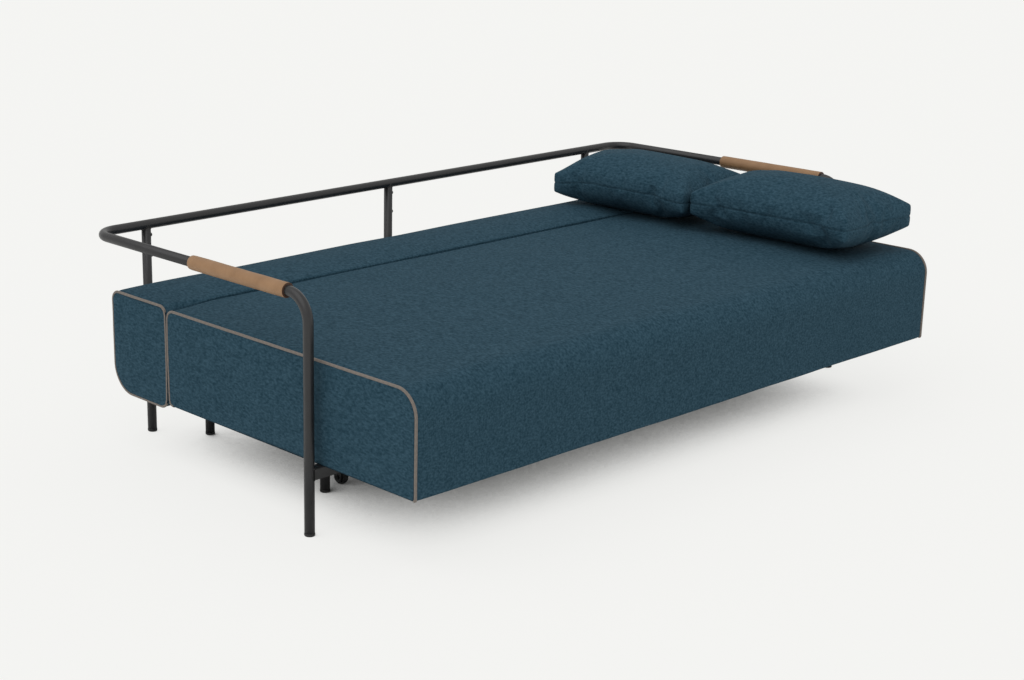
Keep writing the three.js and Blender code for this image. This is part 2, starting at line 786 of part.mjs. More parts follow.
addMesh("back", "back_upholstery", backUpholstery(), finishes.fabric);
addMesh(
  "back",
  "back_board",
  box(2 * (back.halfLength - board.inset), board.thickness, backBoardHeight),
  finishes.plywood,
  [0, at(back.rearDepth) - board.thickness / 2, backBoardLow + backBoardHeight / 2],
);
for (const [name, side] of sides)
  addMesh("back", `back_piping_${name}`, pipingCord(back, backFront, side, true), finishes.piping);

// A slider is a ring round the post, hung from a plate that is fixed to the back board higher up.
function postSlider() {
  const face = -(back.rearDepth - gap);
  const outline = new THREE.Shape();
  outline.moveTo(-slider.halfWidth, face);
  outline.lineTo(slider.halfWidth, face);
  outline.lineTo(slider.halfWidth, 0);
  outline.absarc(0, 0, slider.halfWidth, 0, Math.PI);
  outline.lineTo(-slider.halfWidth, face);
  const bore = new THREE.Path();
  bore.absarc(0, 0, tube.radius + slider.clearance, 0, 2 * Math.PI, true);
  outline.holes.push(bore);
  const ring = new THREE.ExtrudeGeometry(outline, {
    depth: slider.height,
    bevelEnabled: false,
    curveSegments: counts.tubeSides,
  });
  const plate = box(2 * slider.halfWidth, slider.plateThickness, slider.plateHeight);
  const place = [0, face + slider.plateThickness / 2, slider.plateHeight / 2];
  return geometryOf(solidOf(ring).add(solidOf(plate, place)));
}

for (const [name, x] of postPlaces)
  addMesh("back", `post_slider_${name}`, postSlider(), finishes.plastic, [x, at(0), slider.bottom]);

// A pillow: two crowned faces that meet at a blunt edge, its sides drawn in between the corners and its underside
// flattened where it lies.
function pillowForm() {
  const across = 14;
  const along = 20;
  const half = (share) => (1 - Math.abs(share) ** pillow.swellPower) ** pillow.swellEase;
  const level = (pillow.thickness - pillow.pressed) / 2;
  const rim = pillow.edge / 2;
  const share = (i, n) => Math.sin((Math.PI / 2) * ((2 * i) / n - 1));
  const plan = (u, v) => {
    const pinch = 1 - pillow.cornerShare * (u * v) ** 8;
    return [
      pillow.halfWidth * u * (1 - pillow.drawnInShare * (1 - v * v)) * pinch,
      pillow.halfLength * v * (1 - pillow.drawnInShare * (1 - u * u)) * pinch,
    ];
  };
  const positions = [];
  const index = new Map();
  const put = (key, x, y, z) => {
    index.set(key, positions.length / 3);
    positions.push(x, y, z);
  };
  for (let i = 0; i <= across; i++)
    for (let j = 0; j <= along; j++) {
      const [x, y] = plan(share(i, across), share(j, along));
      const swollen = rim + (pillow.thickness / 2 - rim) * half(share(i, across)) * half(share(j, along));
      put(`top ${i} ${j}`, x, y, level + swollen);
      put(`low ${i} ${j}`, x, y, Math.max(level - swollen, 0));
    }
  const faces = [];
  const quad = (a, b, c, d) => faces.push(index.get(a), index.get(b), index.get(c), index.get(a), index.get(c), index.get(d));
  for (let i = 0; i < across; i++)
    for (let j = 0; j < along; j++) {
      quad(`top ${i} ${j}`, `top ${i + 1} ${j}`, `top ${i + 1} ${j + 1}`, `top ${i} ${j + 1}`);
      quad(`low ${i} ${j}`, `low ${i} ${j + 1}`, `low ${i + 1} ${j + 1}`, `low ${i + 1} ${j}`);
    }
  // Round the rim, anticlockwise seen from above.
  const rimPlaces = [];
  for (let i = 0; i < across; i++) rimPlaces.push([i, 0]);
  for (let j = 0; j < along; j++) rimPlaces.push([across, j]);
  for (let i = across; i > 0; i--) rimPlaces.push([i, along]);
  for (let j = along; j > 0; j--) rimPlaces.push([0, j]);
  const belly = 1 + (pillow.edge / pillow.halfLength) * 0.12;
  rimPlaces.forEach(([i, j]) => {
    const [x, y] = plan(share(i, across), share(j, along));
    put(`rim ${i} ${j}`, x * belly, y * belly, level);
  });
  rimPlaces.forEach(([i, j], k) => {
    const [ni, nj] = rimPlaces[(k + 1) % rimPlaces.length];
    quad(`low ${i} ${j}`, `low ${ni} ${nj}`, `rim ${ni} ${nj}`, `rim ${i} ${j}`);
    quad(`rim ${i} ${j}`, `rim ${ni} ${nj}`, `top ${ni} ${nj}`, `top ${i} ${j}`);
  });
  const geometry = new THREE.BufferGeometry();
  geometry.setAttribute("position", new THREE.Float32BufferAttribute(positions, 3));
  geometry.setIndex(faces);
  geometry.computeVertexNormals();
  return geometry;
}

// The height of the crowned tops at a place, and how high a pillow's base lies there to rest on them.
function topHeight(x, depth) {
  const [block, front] = depth < (backFront + seat.rearDepth) / 2 ? [back, backFront] : [seat, seat.frontDepth];
  return block.top + block.crown * crownAlong(x / block.halfLength) * crownAcross(depth, block, front);
}

function restingHeight(form, place) {
  const turn = new THREE.Matrix4().makeRotationZ(place.turnShare * Math.PI);
  const point = new THREE.Vector3();
  let height = 0;
  for (let i = 0; i < form.attributes.position.count; i++) {
    point.fromBufferAttribute(form.attributes.position, i).applyMatrix4(turn);
    height = Math.max(height, topHeight(pillowX(place) + point.x, place.depth - point.y) - point.z);
  }
  return height + gap;
}

for (const [name, place] of Object.entries(pillowPlaces)) {
  const form = pillowForm();
  const mesh = addMesh("pillows", `pillow_${name}`, form, finishes.fabric, [
    pillowX(place),
    at(place.depth),
    restingHeight(form, place),
  ]);
  mesh.rotation.z = place.turnShare * Math.PI;
}

export default model;
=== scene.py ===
# %% [markdown]
# A sofa bed, made up as a bed. A long padded seat block has been pulled forward, and a narrower back block
# lies level behind it. A bent steel tube runs round the back as a rail, becomes an arm at each end and
# bends down into the front legs. Each arm wears a tan leather sleeve, and two pillows lie at the right end.
#
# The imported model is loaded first. It gives every piece's place, so whatever is made here takes its sizes
# from it.

# %% Load the frame
import math

import bmesh
import bpy
import numpy as np
from mathutils import Matrix, Vector, noise

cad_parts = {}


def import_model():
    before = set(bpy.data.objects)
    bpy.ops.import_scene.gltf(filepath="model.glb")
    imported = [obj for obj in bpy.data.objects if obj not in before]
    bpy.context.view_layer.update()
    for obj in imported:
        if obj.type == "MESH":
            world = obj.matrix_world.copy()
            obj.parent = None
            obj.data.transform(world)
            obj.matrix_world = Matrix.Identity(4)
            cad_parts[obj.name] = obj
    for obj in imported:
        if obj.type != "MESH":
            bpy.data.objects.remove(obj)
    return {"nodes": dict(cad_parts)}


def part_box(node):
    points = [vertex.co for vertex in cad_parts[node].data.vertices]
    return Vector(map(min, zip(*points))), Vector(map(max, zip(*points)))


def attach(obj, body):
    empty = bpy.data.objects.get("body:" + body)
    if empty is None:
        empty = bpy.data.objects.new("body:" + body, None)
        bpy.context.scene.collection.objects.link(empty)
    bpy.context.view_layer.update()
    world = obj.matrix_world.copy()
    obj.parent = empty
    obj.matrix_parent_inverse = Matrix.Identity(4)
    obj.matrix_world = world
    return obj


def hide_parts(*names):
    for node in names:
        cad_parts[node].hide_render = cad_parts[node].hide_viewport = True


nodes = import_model()["nodes"]
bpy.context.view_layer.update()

# %% [markdown]
# Small helpers serve every cell. The first two turn a colour as a paint chart gives it, an sRGB hex value,
# into the linear numbers that Blender mixes light in, and a compass heading with a height into a direction.
# The next group builds materials: it feeds a node's inputs with values or links, adds a node, starts a
# material, mixes two shades and gives a surface its fine relief.

# %% Helpers
MM = 0.001


def linear(hex_colour):
    channels = [int(hex_colour[i : i + 2], 16) / 255 for i in (1, 3, 5)]
    return [c / 12.92 if c <= 0.04045 else ((c + 0.055) / 1.055) ** 2.4 for c in channels] + [1.0]


def heading(azimuth, elevation):
    """The direction at an azimuth, which is zero at the front, and a height above the floor."""
    level = math.cos(elevation)
    return Vector((math.sin(azimuth) * level, -math.cos(azimuth) * level, math.sin(elevation)))


def feed(tree, node, inputs):
    for name, value in inputs.items():
        if isinstance(value, bpy.types.NodeSocket):
            tree.links.new(value, node.inputs[name])
        else:
            node.inputs[name].default_value = value


def add(tree, kind, inputs=None, **settings):
    node = tree.nodes.new(kind)
    for name, value in settings.items():
        setattr(node, name, value)
    feed(tree, node, inputs or {})
    return node


def maths(tree, operation, *values):
    return add(tree, "ShaderNodeMath", dict(enumerate(values)), operation=operation).outputs[0]


def cloudy(tree, place, size, **inputs):
    """A noise whose patches are about one size, in metres."""
    return add(tree, "ShaderNodeTexNoise", {"Vector": place, "Scale": 1 / size} | inputs).outputs["Fac"]


def new_material(name):
    material = bpy.data.materials.new(name)
    material.use_nodes = True
    tree = material.node_tree
    return material, tree, tree.nodes["Principled BSDF"]


def shade_between(tree, share, dark, light, start=0.0, end=1.0):
    """The dark colour up to the start, the light one from the end on, and a mix of them between."""
    ramp = add(tree, "ShaderNodeValToRGB", {"Fac": share})
    for stop, place, colour in zip(ramp.color_ramp.elements, (start, end), (dark, light)):
        stop.position = place
        stop.color = linear(colour)
    return ramp.outputs["Color"]


def relief(tree, height, depth, strength):
    bump = add(tree, "ShaderNodeBump", {"Height": height, "Distance": depth, "Strength": strength})
    return bump.outputs["Normal"]


def make_piece(name, points, faces, material):
    mesh = bpy.data.meshes.new(name)
    mesh.from_pydata([tuple(point) for point in points], [], [tuple(face) for face in faces])
    mesh.update()
    piece = bpy.data.objects.new(name, mesh)
    bpy.context.scene.collection.objects.link(piece)
    mesh.materials.append(material)
    mesh.polygons.foreach_set("use_smooth", [True] * len(mesh.polygons))
    return piece


def place_in_frame(piece, node, body):
    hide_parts(node)
    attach(piece, body)


# %% [markdown]
# The camera stands to the left of the bed and a little above it, with a long lens. Its heading, height and
# lens were found by fitting the rail, the legs and the blocks' edges to the picture. The picture is a crop
# of a wider one, so the lens is shifted sideways.

# %% Camera
CAMERA_AZIMUTH = math.radians(-41.28)
CAMERA_ELEVATION = math.radians(15.92)
CAMERA_DISTANCE = 5.453
CAMERA_SIDESTEP = -0.105
CAMERA_RISE = 0.090
CAMERA_SIGHT = 100
FOCAL_PIXELS = 1796.8
PRINCIPAL_X = 352.6
IMAGE_WIDTH = 1024
SENSOR_WIDTH = 36.0

rail_low, rail_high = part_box("back_rail")
post_low, post_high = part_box("rear_post_left")
tube_radius = (post_high.x - post_low.x) / 2
rail_y = rail_high.y - tube_radius

backward = heading(CAMERA_AZIMUTH, CAMERA_ELEVATION)
rightward = Vector((math.cos(CAMERA_AZIMUTH), math.sin(CAMERA_AZIMUTH), 0))
upward = backward.cross(rightward)
camera_data = bpy.data.cameras.new("camera")
camera_data.sensor_width = SENSOR_WIDTH
camera_data.lens = FOCAL_PIXELS * SENSOR_WIDTH / IMAGE_WIDTH
camera_data.shift_x = 0.5 - PRINCIPAL_X / IMAGE_WIDTH
camera_data.clip_end = CAMERA_SIGHT
camera = bpy.data.objects.new("camera", camera_data)
bpy.context.scene.collection.objects.link(camera)
turn = Matrix((rightward, upward, backward)).transposed().to_4x4()
place = backward * CAMERA_DISTANCE + rightward * CAMERA_SIDESTEP + upward * CAMERA_RISE
place += Vector((0, rail_y, 0))
camera.matrix_world = Matrix.Translation(place) @ turn
bpy.context.scene.camera = camera
print("lens", round(camera_data.lens, 1), "mm, camera at", [round(value, 2) for value in place])

# %% [markdown]
# The light is that of a pale studio. An even white surround gives about three quarters of what falls on a
# level surface, and one very wide soft light high up on the left gives the rest. Together they light a
# level surface at full strength, so a colour on top renders as it is written, and the left end gets a
# little more than the front. The wide light is a sun with a large disc, which lights the floor evenly. The
# camera sees the surround as bright as the floor.
#
# A studio floor is lit from all round as well, so a bed's shadow gathers only under it. The camera
# therefore sees the floor as a mix: a little of it is the plain lit floor, and the rest is a glowing sheet
# that darkens where the bed hides the room above it, which the Ambient Occlusion node measures. The light
# that the floor sends back up to the bed is left as it is.

# %% Stage and light
FLOOR_COLOUR = "#f5f5f3"
FLOOR_GLOW = 0.85
FLOOR_SIZE = 60.0
SHADOW_REACH = 0.6
SHADOW_SAMPLES = 32
SHADOW_SHADES = ((0.05, 0.03), (0.1, 0.14), (0.14, 0.45), (0.19, 0.72), (0.28, 0.93), (0.42, 1.0))
SURROUND_STRENGTH = 0.78
SUN_STRENGTH = 0.95
SUN_DISC = math.radians(70)
SUN_AZIMUTH = math.radians(-86)
SUN_ELEVATION = math.radians(58)

world = bpy.data.worlds.new("studio")
bpy.context.scene.world = world
world.use_nodes = True
sky = world.node_tree
sky_seen = add(sky, "ShaderNodeLightPath").outputs["Is Camera Ray"]
sky_level = add(sky, "ShaderNodeMapRange", {"Value": sky_seen, "To Min": SURROUND_STRENGTH, "To Max": 1.0})
feed(sky, sky.nodes["Background"], {"Color": linear(FLOOR_COLOUR), "Strength": sky_level.outputs["Result"]})

sun_data = bpy.data.lights.new("studio_light", "SUN")
sun_data.energy = SUN_STRENGTH
sun_data.angle = SUN_DISC
sun = bpy.data.objects.new("studio_light", sun_data)
bpy.context.scene.collection.objects.link(sun)
sun.rotation_euler = heading(SUN_AZIMUTH, SUN_ELEVATION).to_track_quat("Z", "Y").to_euler()

floor_paint, tree, shader = new_material("studio_floor")
feed(tree, shader, {"Base Color": linear(FLOOR_COLOUR), "Roughness": 1.0, "Specular IOR Level": 0.0})
seen = add(tree, "ShaderNodeLightPath").outputs["Is Camera Ray"]
glow_share = maths(tree, "MULTIPLY", seen, FLOOR_GLOW)
hidden = add(tree, "ShaderNodeAmbientOcclusion", {"Distance": SHADOW_REACH}, samples=SHADOW_SAMPLES)
glow_shades = add(tree, "ShaderNodeValToRGB", {"Fac": hidden.outputs["AO"]})
stops = glow_shades.color_ramp.elements
for openness, share in SHADOW_SHADES:
    stop = stops.new(openness)
    stop.color = [share * channel for channel in linear(FLOOR_COLOUR)[:3]] + [1.0]
stops.remove(stops[-1])
stops.remove(stops[0])
glow = add(tree, "ShaderNodeEmission", {"Color": glow_shades.outputs["Color"], "Strength": 1.0})
layers = {0: glow_share, 1: shader.outputs["BSDF"], 2: glow.outputs["Emission"]}
lifted = add(tree, "ShaderNodeMixShader", layers)
feed(tree, tree.nodes["Material Output"], {"Surface": lifted.outputs["Shader"]})
half = FLOOR_SIZE / 2
floor_corners = [(-half, -half, 0), (half, -half, 0), (half, half, 0), (-half, half, 0)]
make_piece("studio_floor", floor_corners, [(0, 1, 2, 3)], floor_paint)
bpy.context.scene.view_settings.view_transform = "Standard"

# %% [markdown]
# The upholstery is a flat-woven polyester melange: each yarn is spun from fibres of several blue-greys, so
# the cloth looks mottled, and no thread shows from across a room. Two noises mix the shades, one of a few
# millimetres for the yarns and one of a few centimetres for the dye. A lattice of three sine waves in space
# gives the over and under of the weave on any face, whichever way it looks. Where a mesh has a seam, an
# attribute mixes in a darker colour along its line: painted shade, the shadow of the recess beside the
# piping and in the pillows' seam groove. The yarns are drawn several times as coarse as real ones, because
# finer ones wouldn't show. A little sheen is the haze of loose fibres that catches light at the edges.

# %% Fabric
FABRIC_DARK = "#193441"
FABRIC_LIGHT = "#385362"
# The seam colour is painted shade: the dark of the recess along the piping and in the pillows' seams.
SEAM_SHADE_COLOUR = "#0f1e27"
YARN_MM = 5.0
SLUB_STRETCH = (0.8, 0.5, 1.0)
DYE_MM = 30.0
DYE_SHARE = 0.12
WEAVE_MM = 3.0
WEAVE_SHARE = 0.12
FABRIC_BUMP_MM = 0.5

fabric, tree, shader = new_material("woven_melange_polyester")
place = add(tree, "ShaderNodeTexCoord").outputs["Object"]
slubs = add(tree, "ShaderNodeMapping", {"Vector": place, "Scale": SLUB_STRETCH}).outputs["Vector"]
yarns = cloudy(tree, slubs, YARN_MM * MM, Detail=2.0, Roughness=0.6)
dye = cloudy(tree, place, DYE_MM * MM, Detail=2.0)
mottle = maths(tree, "MULTIPLY_ADD", dye, DYE_SHARE, maths(tree, "MULTIPLY", yarns, 1 - DYE_SHARE))
shades = shade_between(tree, mottle, FABRIC_DARK, FABRIC_LIGHT, 0.3, 0.7)
# The seam attribute mixes in painted shade along the seams.
seam = add(tree, "ShaderNodeAttribute", attribute_name="seam").outputs["Fac"]
painted_seam_shade = add(tree, "ShaderNodeMix", {0: seam, 6: shades, 7: linear(SEAM_SHADE_COLOUR)}, data_type="RGBA")
axes = add(tree, "ShaderNodeSeparateXYZ", {"Vector": place}).outputs
phases = [maths(tree, "MULTIPLY", axes[i], math.pi / (WEAVE_MM * MM)) for i in range(3)]
waves = [maths(tree, "SINE", phase) for phase in phases]
lattice = maths(tree, "ADD", maths(tree, "ADD", waves[0], waves[1]), waves[2])
height = maths(tree, "MULTIPLY_ADD", lattice, WEAVE_SHARE, yarns)
feed(
    tree,
    shader,
    {
        "Base Color": painted_seam_shade.outputs[2],
        "Normal": relief(tree, height, FABRIC_BUMP_MM * MM, 0.6),
        "Roughness": 0.92,
        "Specular IOR Level": 0.09,
        "Sheen Weight": 0.02,
        "Sheen Roughness": 0.5,
        "Sheen Tint": linear("#9fb4c0"),
    },
)

# %% [markdown]
# The piping is a cord wrapped in a bias-cut strip of taupe cloth. Its threads cross the cord at 45 degrees,
# so a wave on the cord's own map, which runs along it and round it in real millimetres, draws them as a
# diagonal rib.

# %% Piping cloth
PIPING_DARK = "#6d645d"
PIPING_LIGHT = "#746b64"
PIPING_RIB_MM = 1.2
WAVE_BANDS = 20  # the wave texture's own factor

piping_cloth, tree, shader = new_material("bias_cut_piping_cloth")
around = add(tree, "ShaderNodeUVMap").outputs["UV"]
rib_scale = 1 / (PIPING_RIB_MM * MM) / WAVE_BANDS
ribs = add(
    tree,
    "ShaderNodeTexWave",
    {"Vector": around, "Scale": rib_scale, "Distortion": 1.5, "Detail": 2.0},
    wave_type="BANDS",
    bands_direction="DIAGONAL",
).outputs["Fac"]
feed(
    tree,
    shader,
    {
        "Base Color": shade_between(tree, ribs, PIPING_DARK, PIPING_LIGHT),
        "Normal": relief(tree, ribs, 0.05 * MM, 0.5),
        "Roughness": 0.8,
        "Sheen Weight": 0.15,
    },
)

# %% [markdown]
# The sleeves are vegetable-tanned leather: tan, a little darker where hands have rubbed oil in, with fine
# pores and a soft gloss. Cut edges are burnished dark. The mesh says where a cut edge is with an attribute
# that rises to one there, so the dark ring stays put however the piece is turned.

# %% Leather
LEATHER_DARK = "#8b6a4b"
LEATHER_LIGHT = "#9b7857"
LEATHER_EDGE = "#452d1f"
PORE_MM = 1.1
TAN_MM = 45.0

leather, tree, shader = new_material("vegetable_tanned_leather")
place = add(tree, "ShaderNodeTexCoord").outputs["Object"]
tan = cloudy(tree, place, TAN_MM * MM, Detail=6.0, Roughness=0.65)
shades = shade_between(tree, tan, LEATHER_DARK, LEATHER_LIGHT, 0.3, 0.7)
cut_edge = add(tree, "ShaderNodeAttribute", attribute_name="cut_edge").outputs["Fac"]
edged = add(tree, "ShaderNodeMix", {"Factor": cut_edge, 6: shades, 7: linear(LEATHER_EDGE)}, data_type="RGBA")
pores = add(tree, "ShaderNodeTexVoronoi", {"Vector": place, "Scale": 1 / (PORE_MM * MM)}, feature="SMOOTH_F1")
grain = cloudy(tree, place, 4 * PORE_MM * MM, Detail=4.0)
hide = maths(tree, "ADD", pores.outputs["Distance"], grain)
gloss = add(tree, "ShaderNodeMapRange", {"Value": tan, "To Min": 0.62, "To Max": 0.48})
feed(
    tree,
    shader,
    {
        "Base Color": edged.outputs[2],
        "Normal": relief(tree, hide, 0.12 * MM, 0.5),
        "Roughness": gloss.outputs["Result"],
        "Specular IOR Level": 0.4,
    },
)

# %% [markdown]
# The frame is mild steel tube with a matt charcoal powder coat. The powder melts into a skin with a faint
# orange peel, which breaks up its highlights. The same function serves the other hard finishes, each with
# its own colour, grain and gloss.

# %% Paint, plastic, rubber and steel
CLOUD_GRAINS = 40
GLOSS_SPREAD = 0.06


def skinned(name, dark, light, grain_mm, bump_mm, roughness, metallic=0.0, specular=0.5):
    material, tree, shader = new_material(name)
    place = add(tree, "ShaderNodeTexCoord").outputs["Object"]
    skin = cloudy(tree, place, grain_mm * MM, Detail=2.0)
    cloud = cloudy(tree, place, CLOUD_GRAINS * grain_mm * MM, Detail=4.0)
    limits = {"To Min": roughness - GLOSS_SPREAD, "To Max": roughness + GLOSS_SPREAD}
    wear = add(tree, "ShaderNodeMapRange", {"Value": cloud} | limits)
    look = {
        "Base Color": shade_between(tree, cloud, dark, light, 0.3, 0.7),
        "Normal": relief(tree, skin, bump_mm * MM, 0.5),
        "Roughness": wear.outputs["Result"],
        "Metallic": metallic,
        "Specular IOR Level": specular,
    }
    feed(tree, shader, look)
    return material


powder_coat = skinned("charcoal_powder_coat", "#222223", "#28282a", 1.0, 0.06, 0.36)
moulded_plastic = skinned("black_moulded_polypropylene", "#1b1b1c", "#212122", 0.8, 0.05, 0.55)
wheel_rubber = skinned("dark_thermoplastic_rubber", "#1f1f20", "#29292a", 0.9, 0.06, 0.78, specular=0.35)
black_steel = skinned("blackened_screw_steel", "#1e1e1f", "#2a2a2b", 0.6, 0.02, 0.38, metallic=0.7)
staple_wire = skinned("galvanised_staple_wire", "#7d7f80", "#9a9c9d", 0.6, 0.01, 0.4, metallic=0.85)
linen_thread = skinned("waxed_linen_thread", "#6f5138", "#826247", 0.5, 0.05, 0.6)
weld_steel = skinned("painted_weld_bead", "#222223", "#29292a", 0.8, 0.08, 0.5)

# %% [markdown]
# Furniture is closed underneath with a dust cover: black polypropylene fibres, laid at random and pressed
# together with small hot points. A fine voronoi draws those points as dimples a few millimetres apart. Here
# the cover lies on the seat's base board, so the board wears it.

# %% Dust cover
SPUN_DARK = "#121213"
SPUN_LIGHT = "#1c1c1e"
SPUN_POINT_MM = 3.0
SPUN_FIBRE_MM = 2

dust_cover, tree, shader = new_material("spunbond_dust_cover")
place = add(tree, "ShaderNodeTexCoord").outputs["Object"]
points = {"Vector": place, "Scale": 1 / (SPUN_POINT_MM * MM), "Randomness": 0.2}
pressed = add(tree, "ShaderNodeTexVoronoi", points)
fibres = cloudy(tree, place, SPUN_FIBRE_MM * MM, Detail=4.0, Distortion=1.2)
feed(
    tree,
    shader,
    {
        "Base Color": shade_between(tree, fibres, SPUN_DARK, SPUN_LIGHT, 0.35, 0.65),
        "Normal": relief(tree, pressed.outputs["Distance"], 0.3 * MM, 0.6),
        "Roughness": 0.85,
        "Specular IOR Level": 0.25,
    },
)

# %% [markdown]
# The board inside the back is birch plywood. Rotary-cut veneer has long flame-shaped figure along the
# sheet, which a noise stretched along X gives.

# %% Plywood
PLY_DARK = "#b98f5c"
PLY_LIGHT = "#d9b98a"
GRAIN_STRETCH = 14.0
GRAIN_MM = 9.0

plywood, tree, shader = new_material("birch_plywood")
place = add(tree, "ShaderNodeTexCoord").outputs["Object"]
along = add(tree, "ShaderNodeMapping", {"Vector": place, "Scale": (1 / GRAIN_STRETCH, 1, 1)})
figure = cloudy(tree, along.outputs["Vector"], GRAIN_MM * MM, Detail=5.0, Distortion=0.6)
feed(
    tree,
    shader,
    {
        "Base Color": shade_between(tree, figure, PLY_DARK, PLY_LIGHT, 0.35, 0.65),
        "Normal": relief(tree, figure, 0.1 * MM, 0.4),
        "Roughness": 0.7,
    },
)

# %% [markdown]
# A tube is a circle swept along a line of straight runs and bends. Blender's own curves could do it, but a
# sweep written out keeps exact rings at the bends and can lay a map in real metres along the piece, for the
# piping's cloth. Each ring is turned by the least angle from the one before, so the tube never twists.

# %% Sweeping
SHARP_ANGLE = math.radians(42)


def bent_line(corners, radii, steps=16):
    """Points along straight runs whose corners are arcs of the given radii."""
    points = [Vector(corners[0])]
    for before, corner, after, radius in zip(corners, corners[1:], corners[2:], radii):
        corner = Vector(corner)
        inward = (corner - Vector(before)).normalized()
        outward = (Vector(after) - corner).normalized()
        angle = inward.angle(outward)
        reach = radius * math.tan(angle / 2)
        side = (outward - inward * inward.dot(outward)).normalized()
        centre = corner - inward * reach + side * radius
        for step in range(steps + 1):
            part = angle * step / steps
            points.append(centre - side * radius * math.cos(part) + inward * radius * math.sin(part))
    points.append(Vector(corners[-1]))
    return points


def sweep(name, points, radius, sides, material, closed=False):
    """A round bar along a line, with flat ends, or closed on itself."""
    count = len(points)
    following = [points[(i + 1) % count] - points[i] for i in range(count)]
    leading = [points[i] - points[i - 1] for i in range(count)]
    if not closed:
        following[-1] = leading[-1]
        leading[0] = following[0]
    pairs = zip(leading, following)
    tangents = [(a.normalized() + b.normalized()).normalized() for a, b in pairs]
    normal = tangents[0].orthogonal().normalized()
    frames = [normal]
    for a, b in zip(tangents, tangents[1:]):
        normal = a.rotation_difference(b) @ normal
        frames.append(normal.normalized())
    if closed:
        back = tangents[-1].rotation_difference(tangents[0]) @ frames[-1]
        slip = back.angle(frames[0], 0.0)
        if back.cross(frames[0]).dot(tangents[0]) < 0:
            slip = -slip
        turns = [Matrix.Rotation(slip * i / count, 3, tangents[i]) for i in range(count)]
        frames = [turn @ normal for turn, normal in zip(turns, frames)]
    rings = []
    for point, tangent, normal in zip(points, tangents, frames):
        side = tangent.cross(normal)
        for j in range(sides):
            angle = 2 * math.pi * j / sides
            rings.append(point + (normal * math.cos(angle) + side * math.sin(angle)) * radius)
    lengths = [0.0]
    for a, b in zip(points, points[1:] + points[:1]):
        lengths.append(lengths[-1] + (b - a).length)
    faces = []
    maps = []
    for i in range(count if closed else count - 1):
        for j in range(sides):
            k = (j + 1) % sides
            here, there = i * sides, (i + 1) % count * sides
            faces.append((here + j, here + k, there + k, there + j))
            low, high = (2 * math.pi * radius * part / sides for part in (j, j + 1))
            start, end = lengths[i], lengths[i + 1]
            maps.append(((start, low), (start, high), (end, high), (end, low)))
    if not closed:
        faces.append(tuple(reversed(range(sides))))
        faces.append(tuple((count - 1) * sides + j for j in range(sides)))
        maps.append(((0.0, 0.0),) * sides)
        maps.append(((0.0, 0.0),) * sides)
    piece = make_piece(name, rings, faces, material)
    uv = piece.data.uv_layers.new(name="along")
    uv.data.foreach_set("uv", [value for corner_maps in maps for pair in corner_maps for value in pair])
    for polygon in piece.data.polygons:
        if len(polygon.vertices) > 4:
            polygon.use_smooth = False
    return piece


def turn_profile(name, profile, centre, axis, sides, material):
    """A piece turned on a lathe: [radius, height] pairs swung round an axis. Radius zero closes an end."""
    spin = Vector((0, 0, 1)).rotation_difference(Vector(axis)).to_matrix()
    points = []
    rows = []
    for radius, height in profile:
        if radius == 0:
            rows.append([len(points)] * sides)
            points.append(Vector(centre) + spin @ Vector((0, 0, height)))
            continue
        rows.append([len(points) + j for j in range(sides)])
        for j in range(sides):
            angle = 2 * math.pi * j / sides
            across, up = radius * math.cos(angle), radius * math.sin(angle)
            points.append(Vector(centre) + spin @ Vector((across, up, height)))
    faces = []
    for row, above in zip(rows, rows[1:]):
        for j in range(sides):
            k = (j + 1) % sides
            corners = [row[j], row[k], above[k], above[j]]
            faces.append([c for i, c in enumerate(corners) if c not in corners[:i]])
    piece = make_piece(name, points, faces, material)
    piece.data.set_sharp_from_angle(angle=SHARP_ANGLE)
    return piece


# %% [markdown]
# The rail, arms and legs are one look: 25 mm tube. The arm's front half and its leg are a second tube that
# plugs into the rail inside the sleeve, so each is swept by itself between its true ends. The posts run up
# to the rail's middle, where two tubes of one size have the same width, so nothing of a post's flat top
# stands out of the rail.

# %% Frame tubes
TUBE_SIDES = 48
BEND_RADIUS = 66 * MM

rail_height = (rail_low.z + rail_high.z) / 2
arm_x = rail_high.x - tube_radius
corners = [(-arm_x, rail_low.y), (-arm_x, rail_y), (arm_x, rail_y), (arm_x, rail_low.y)]
rail_line = bent_line([(x, y, rail_height) for x, y in corners], [BEND_RADIUS, BEND_RADIUS])
rail = sweep("rail_tube", rail_line, tube_radius, TUBE_SIDES, powder_coat)
place_in_frame(rail, "back_rail", "frame")

arm_low, arm_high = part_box("arm_tube_left")
leg_y = arm_low.y + tube_radius
for side, sign in (("left", -1), ("right", 1)):
    corners = [(arm_high.y, rail_height), (leg_y, rail_height), (leg_y, arm_low.z)]
    arm_line = bent_line([(sign * arm_x, y, z) for y, z in corners], [BEND_RADIUS])
    arm = sweep(f"arm_and_leg_{side}", arm_line, tube_radius, TUBE_SIDES, powder_coat)
    place_in_frame(arm, f"arm_tube_{side}", "frame")

for node in [name for name in nodes if name.startswith(("rear_post", "inner_leg"))]:
    low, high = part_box(node)
    centre = (low + high) / 2
    top = rail_height if node.startswith("rear_post") else high.z
    line = [Vector((centre.x, centre.y, low.z)), Vector((centre.x, centre.y, top))]
    post = sweep(f"{node}_tube", line, tube_radius, TUBE_SIDES, powder_coat)
    place_in_frame(post, node, "frame")

# %% [markdown]
# Each leg ends in a moulded foot: a plug inside the tube with a rounded lip that just clears the tube's
# edge. It is turned from one profile.

# %% Feet
FOOT_EDGE = 2.5 * MM
FOOT_CHAMFER = 0.8 * MM
FOOT_ARC_STEPS = 5

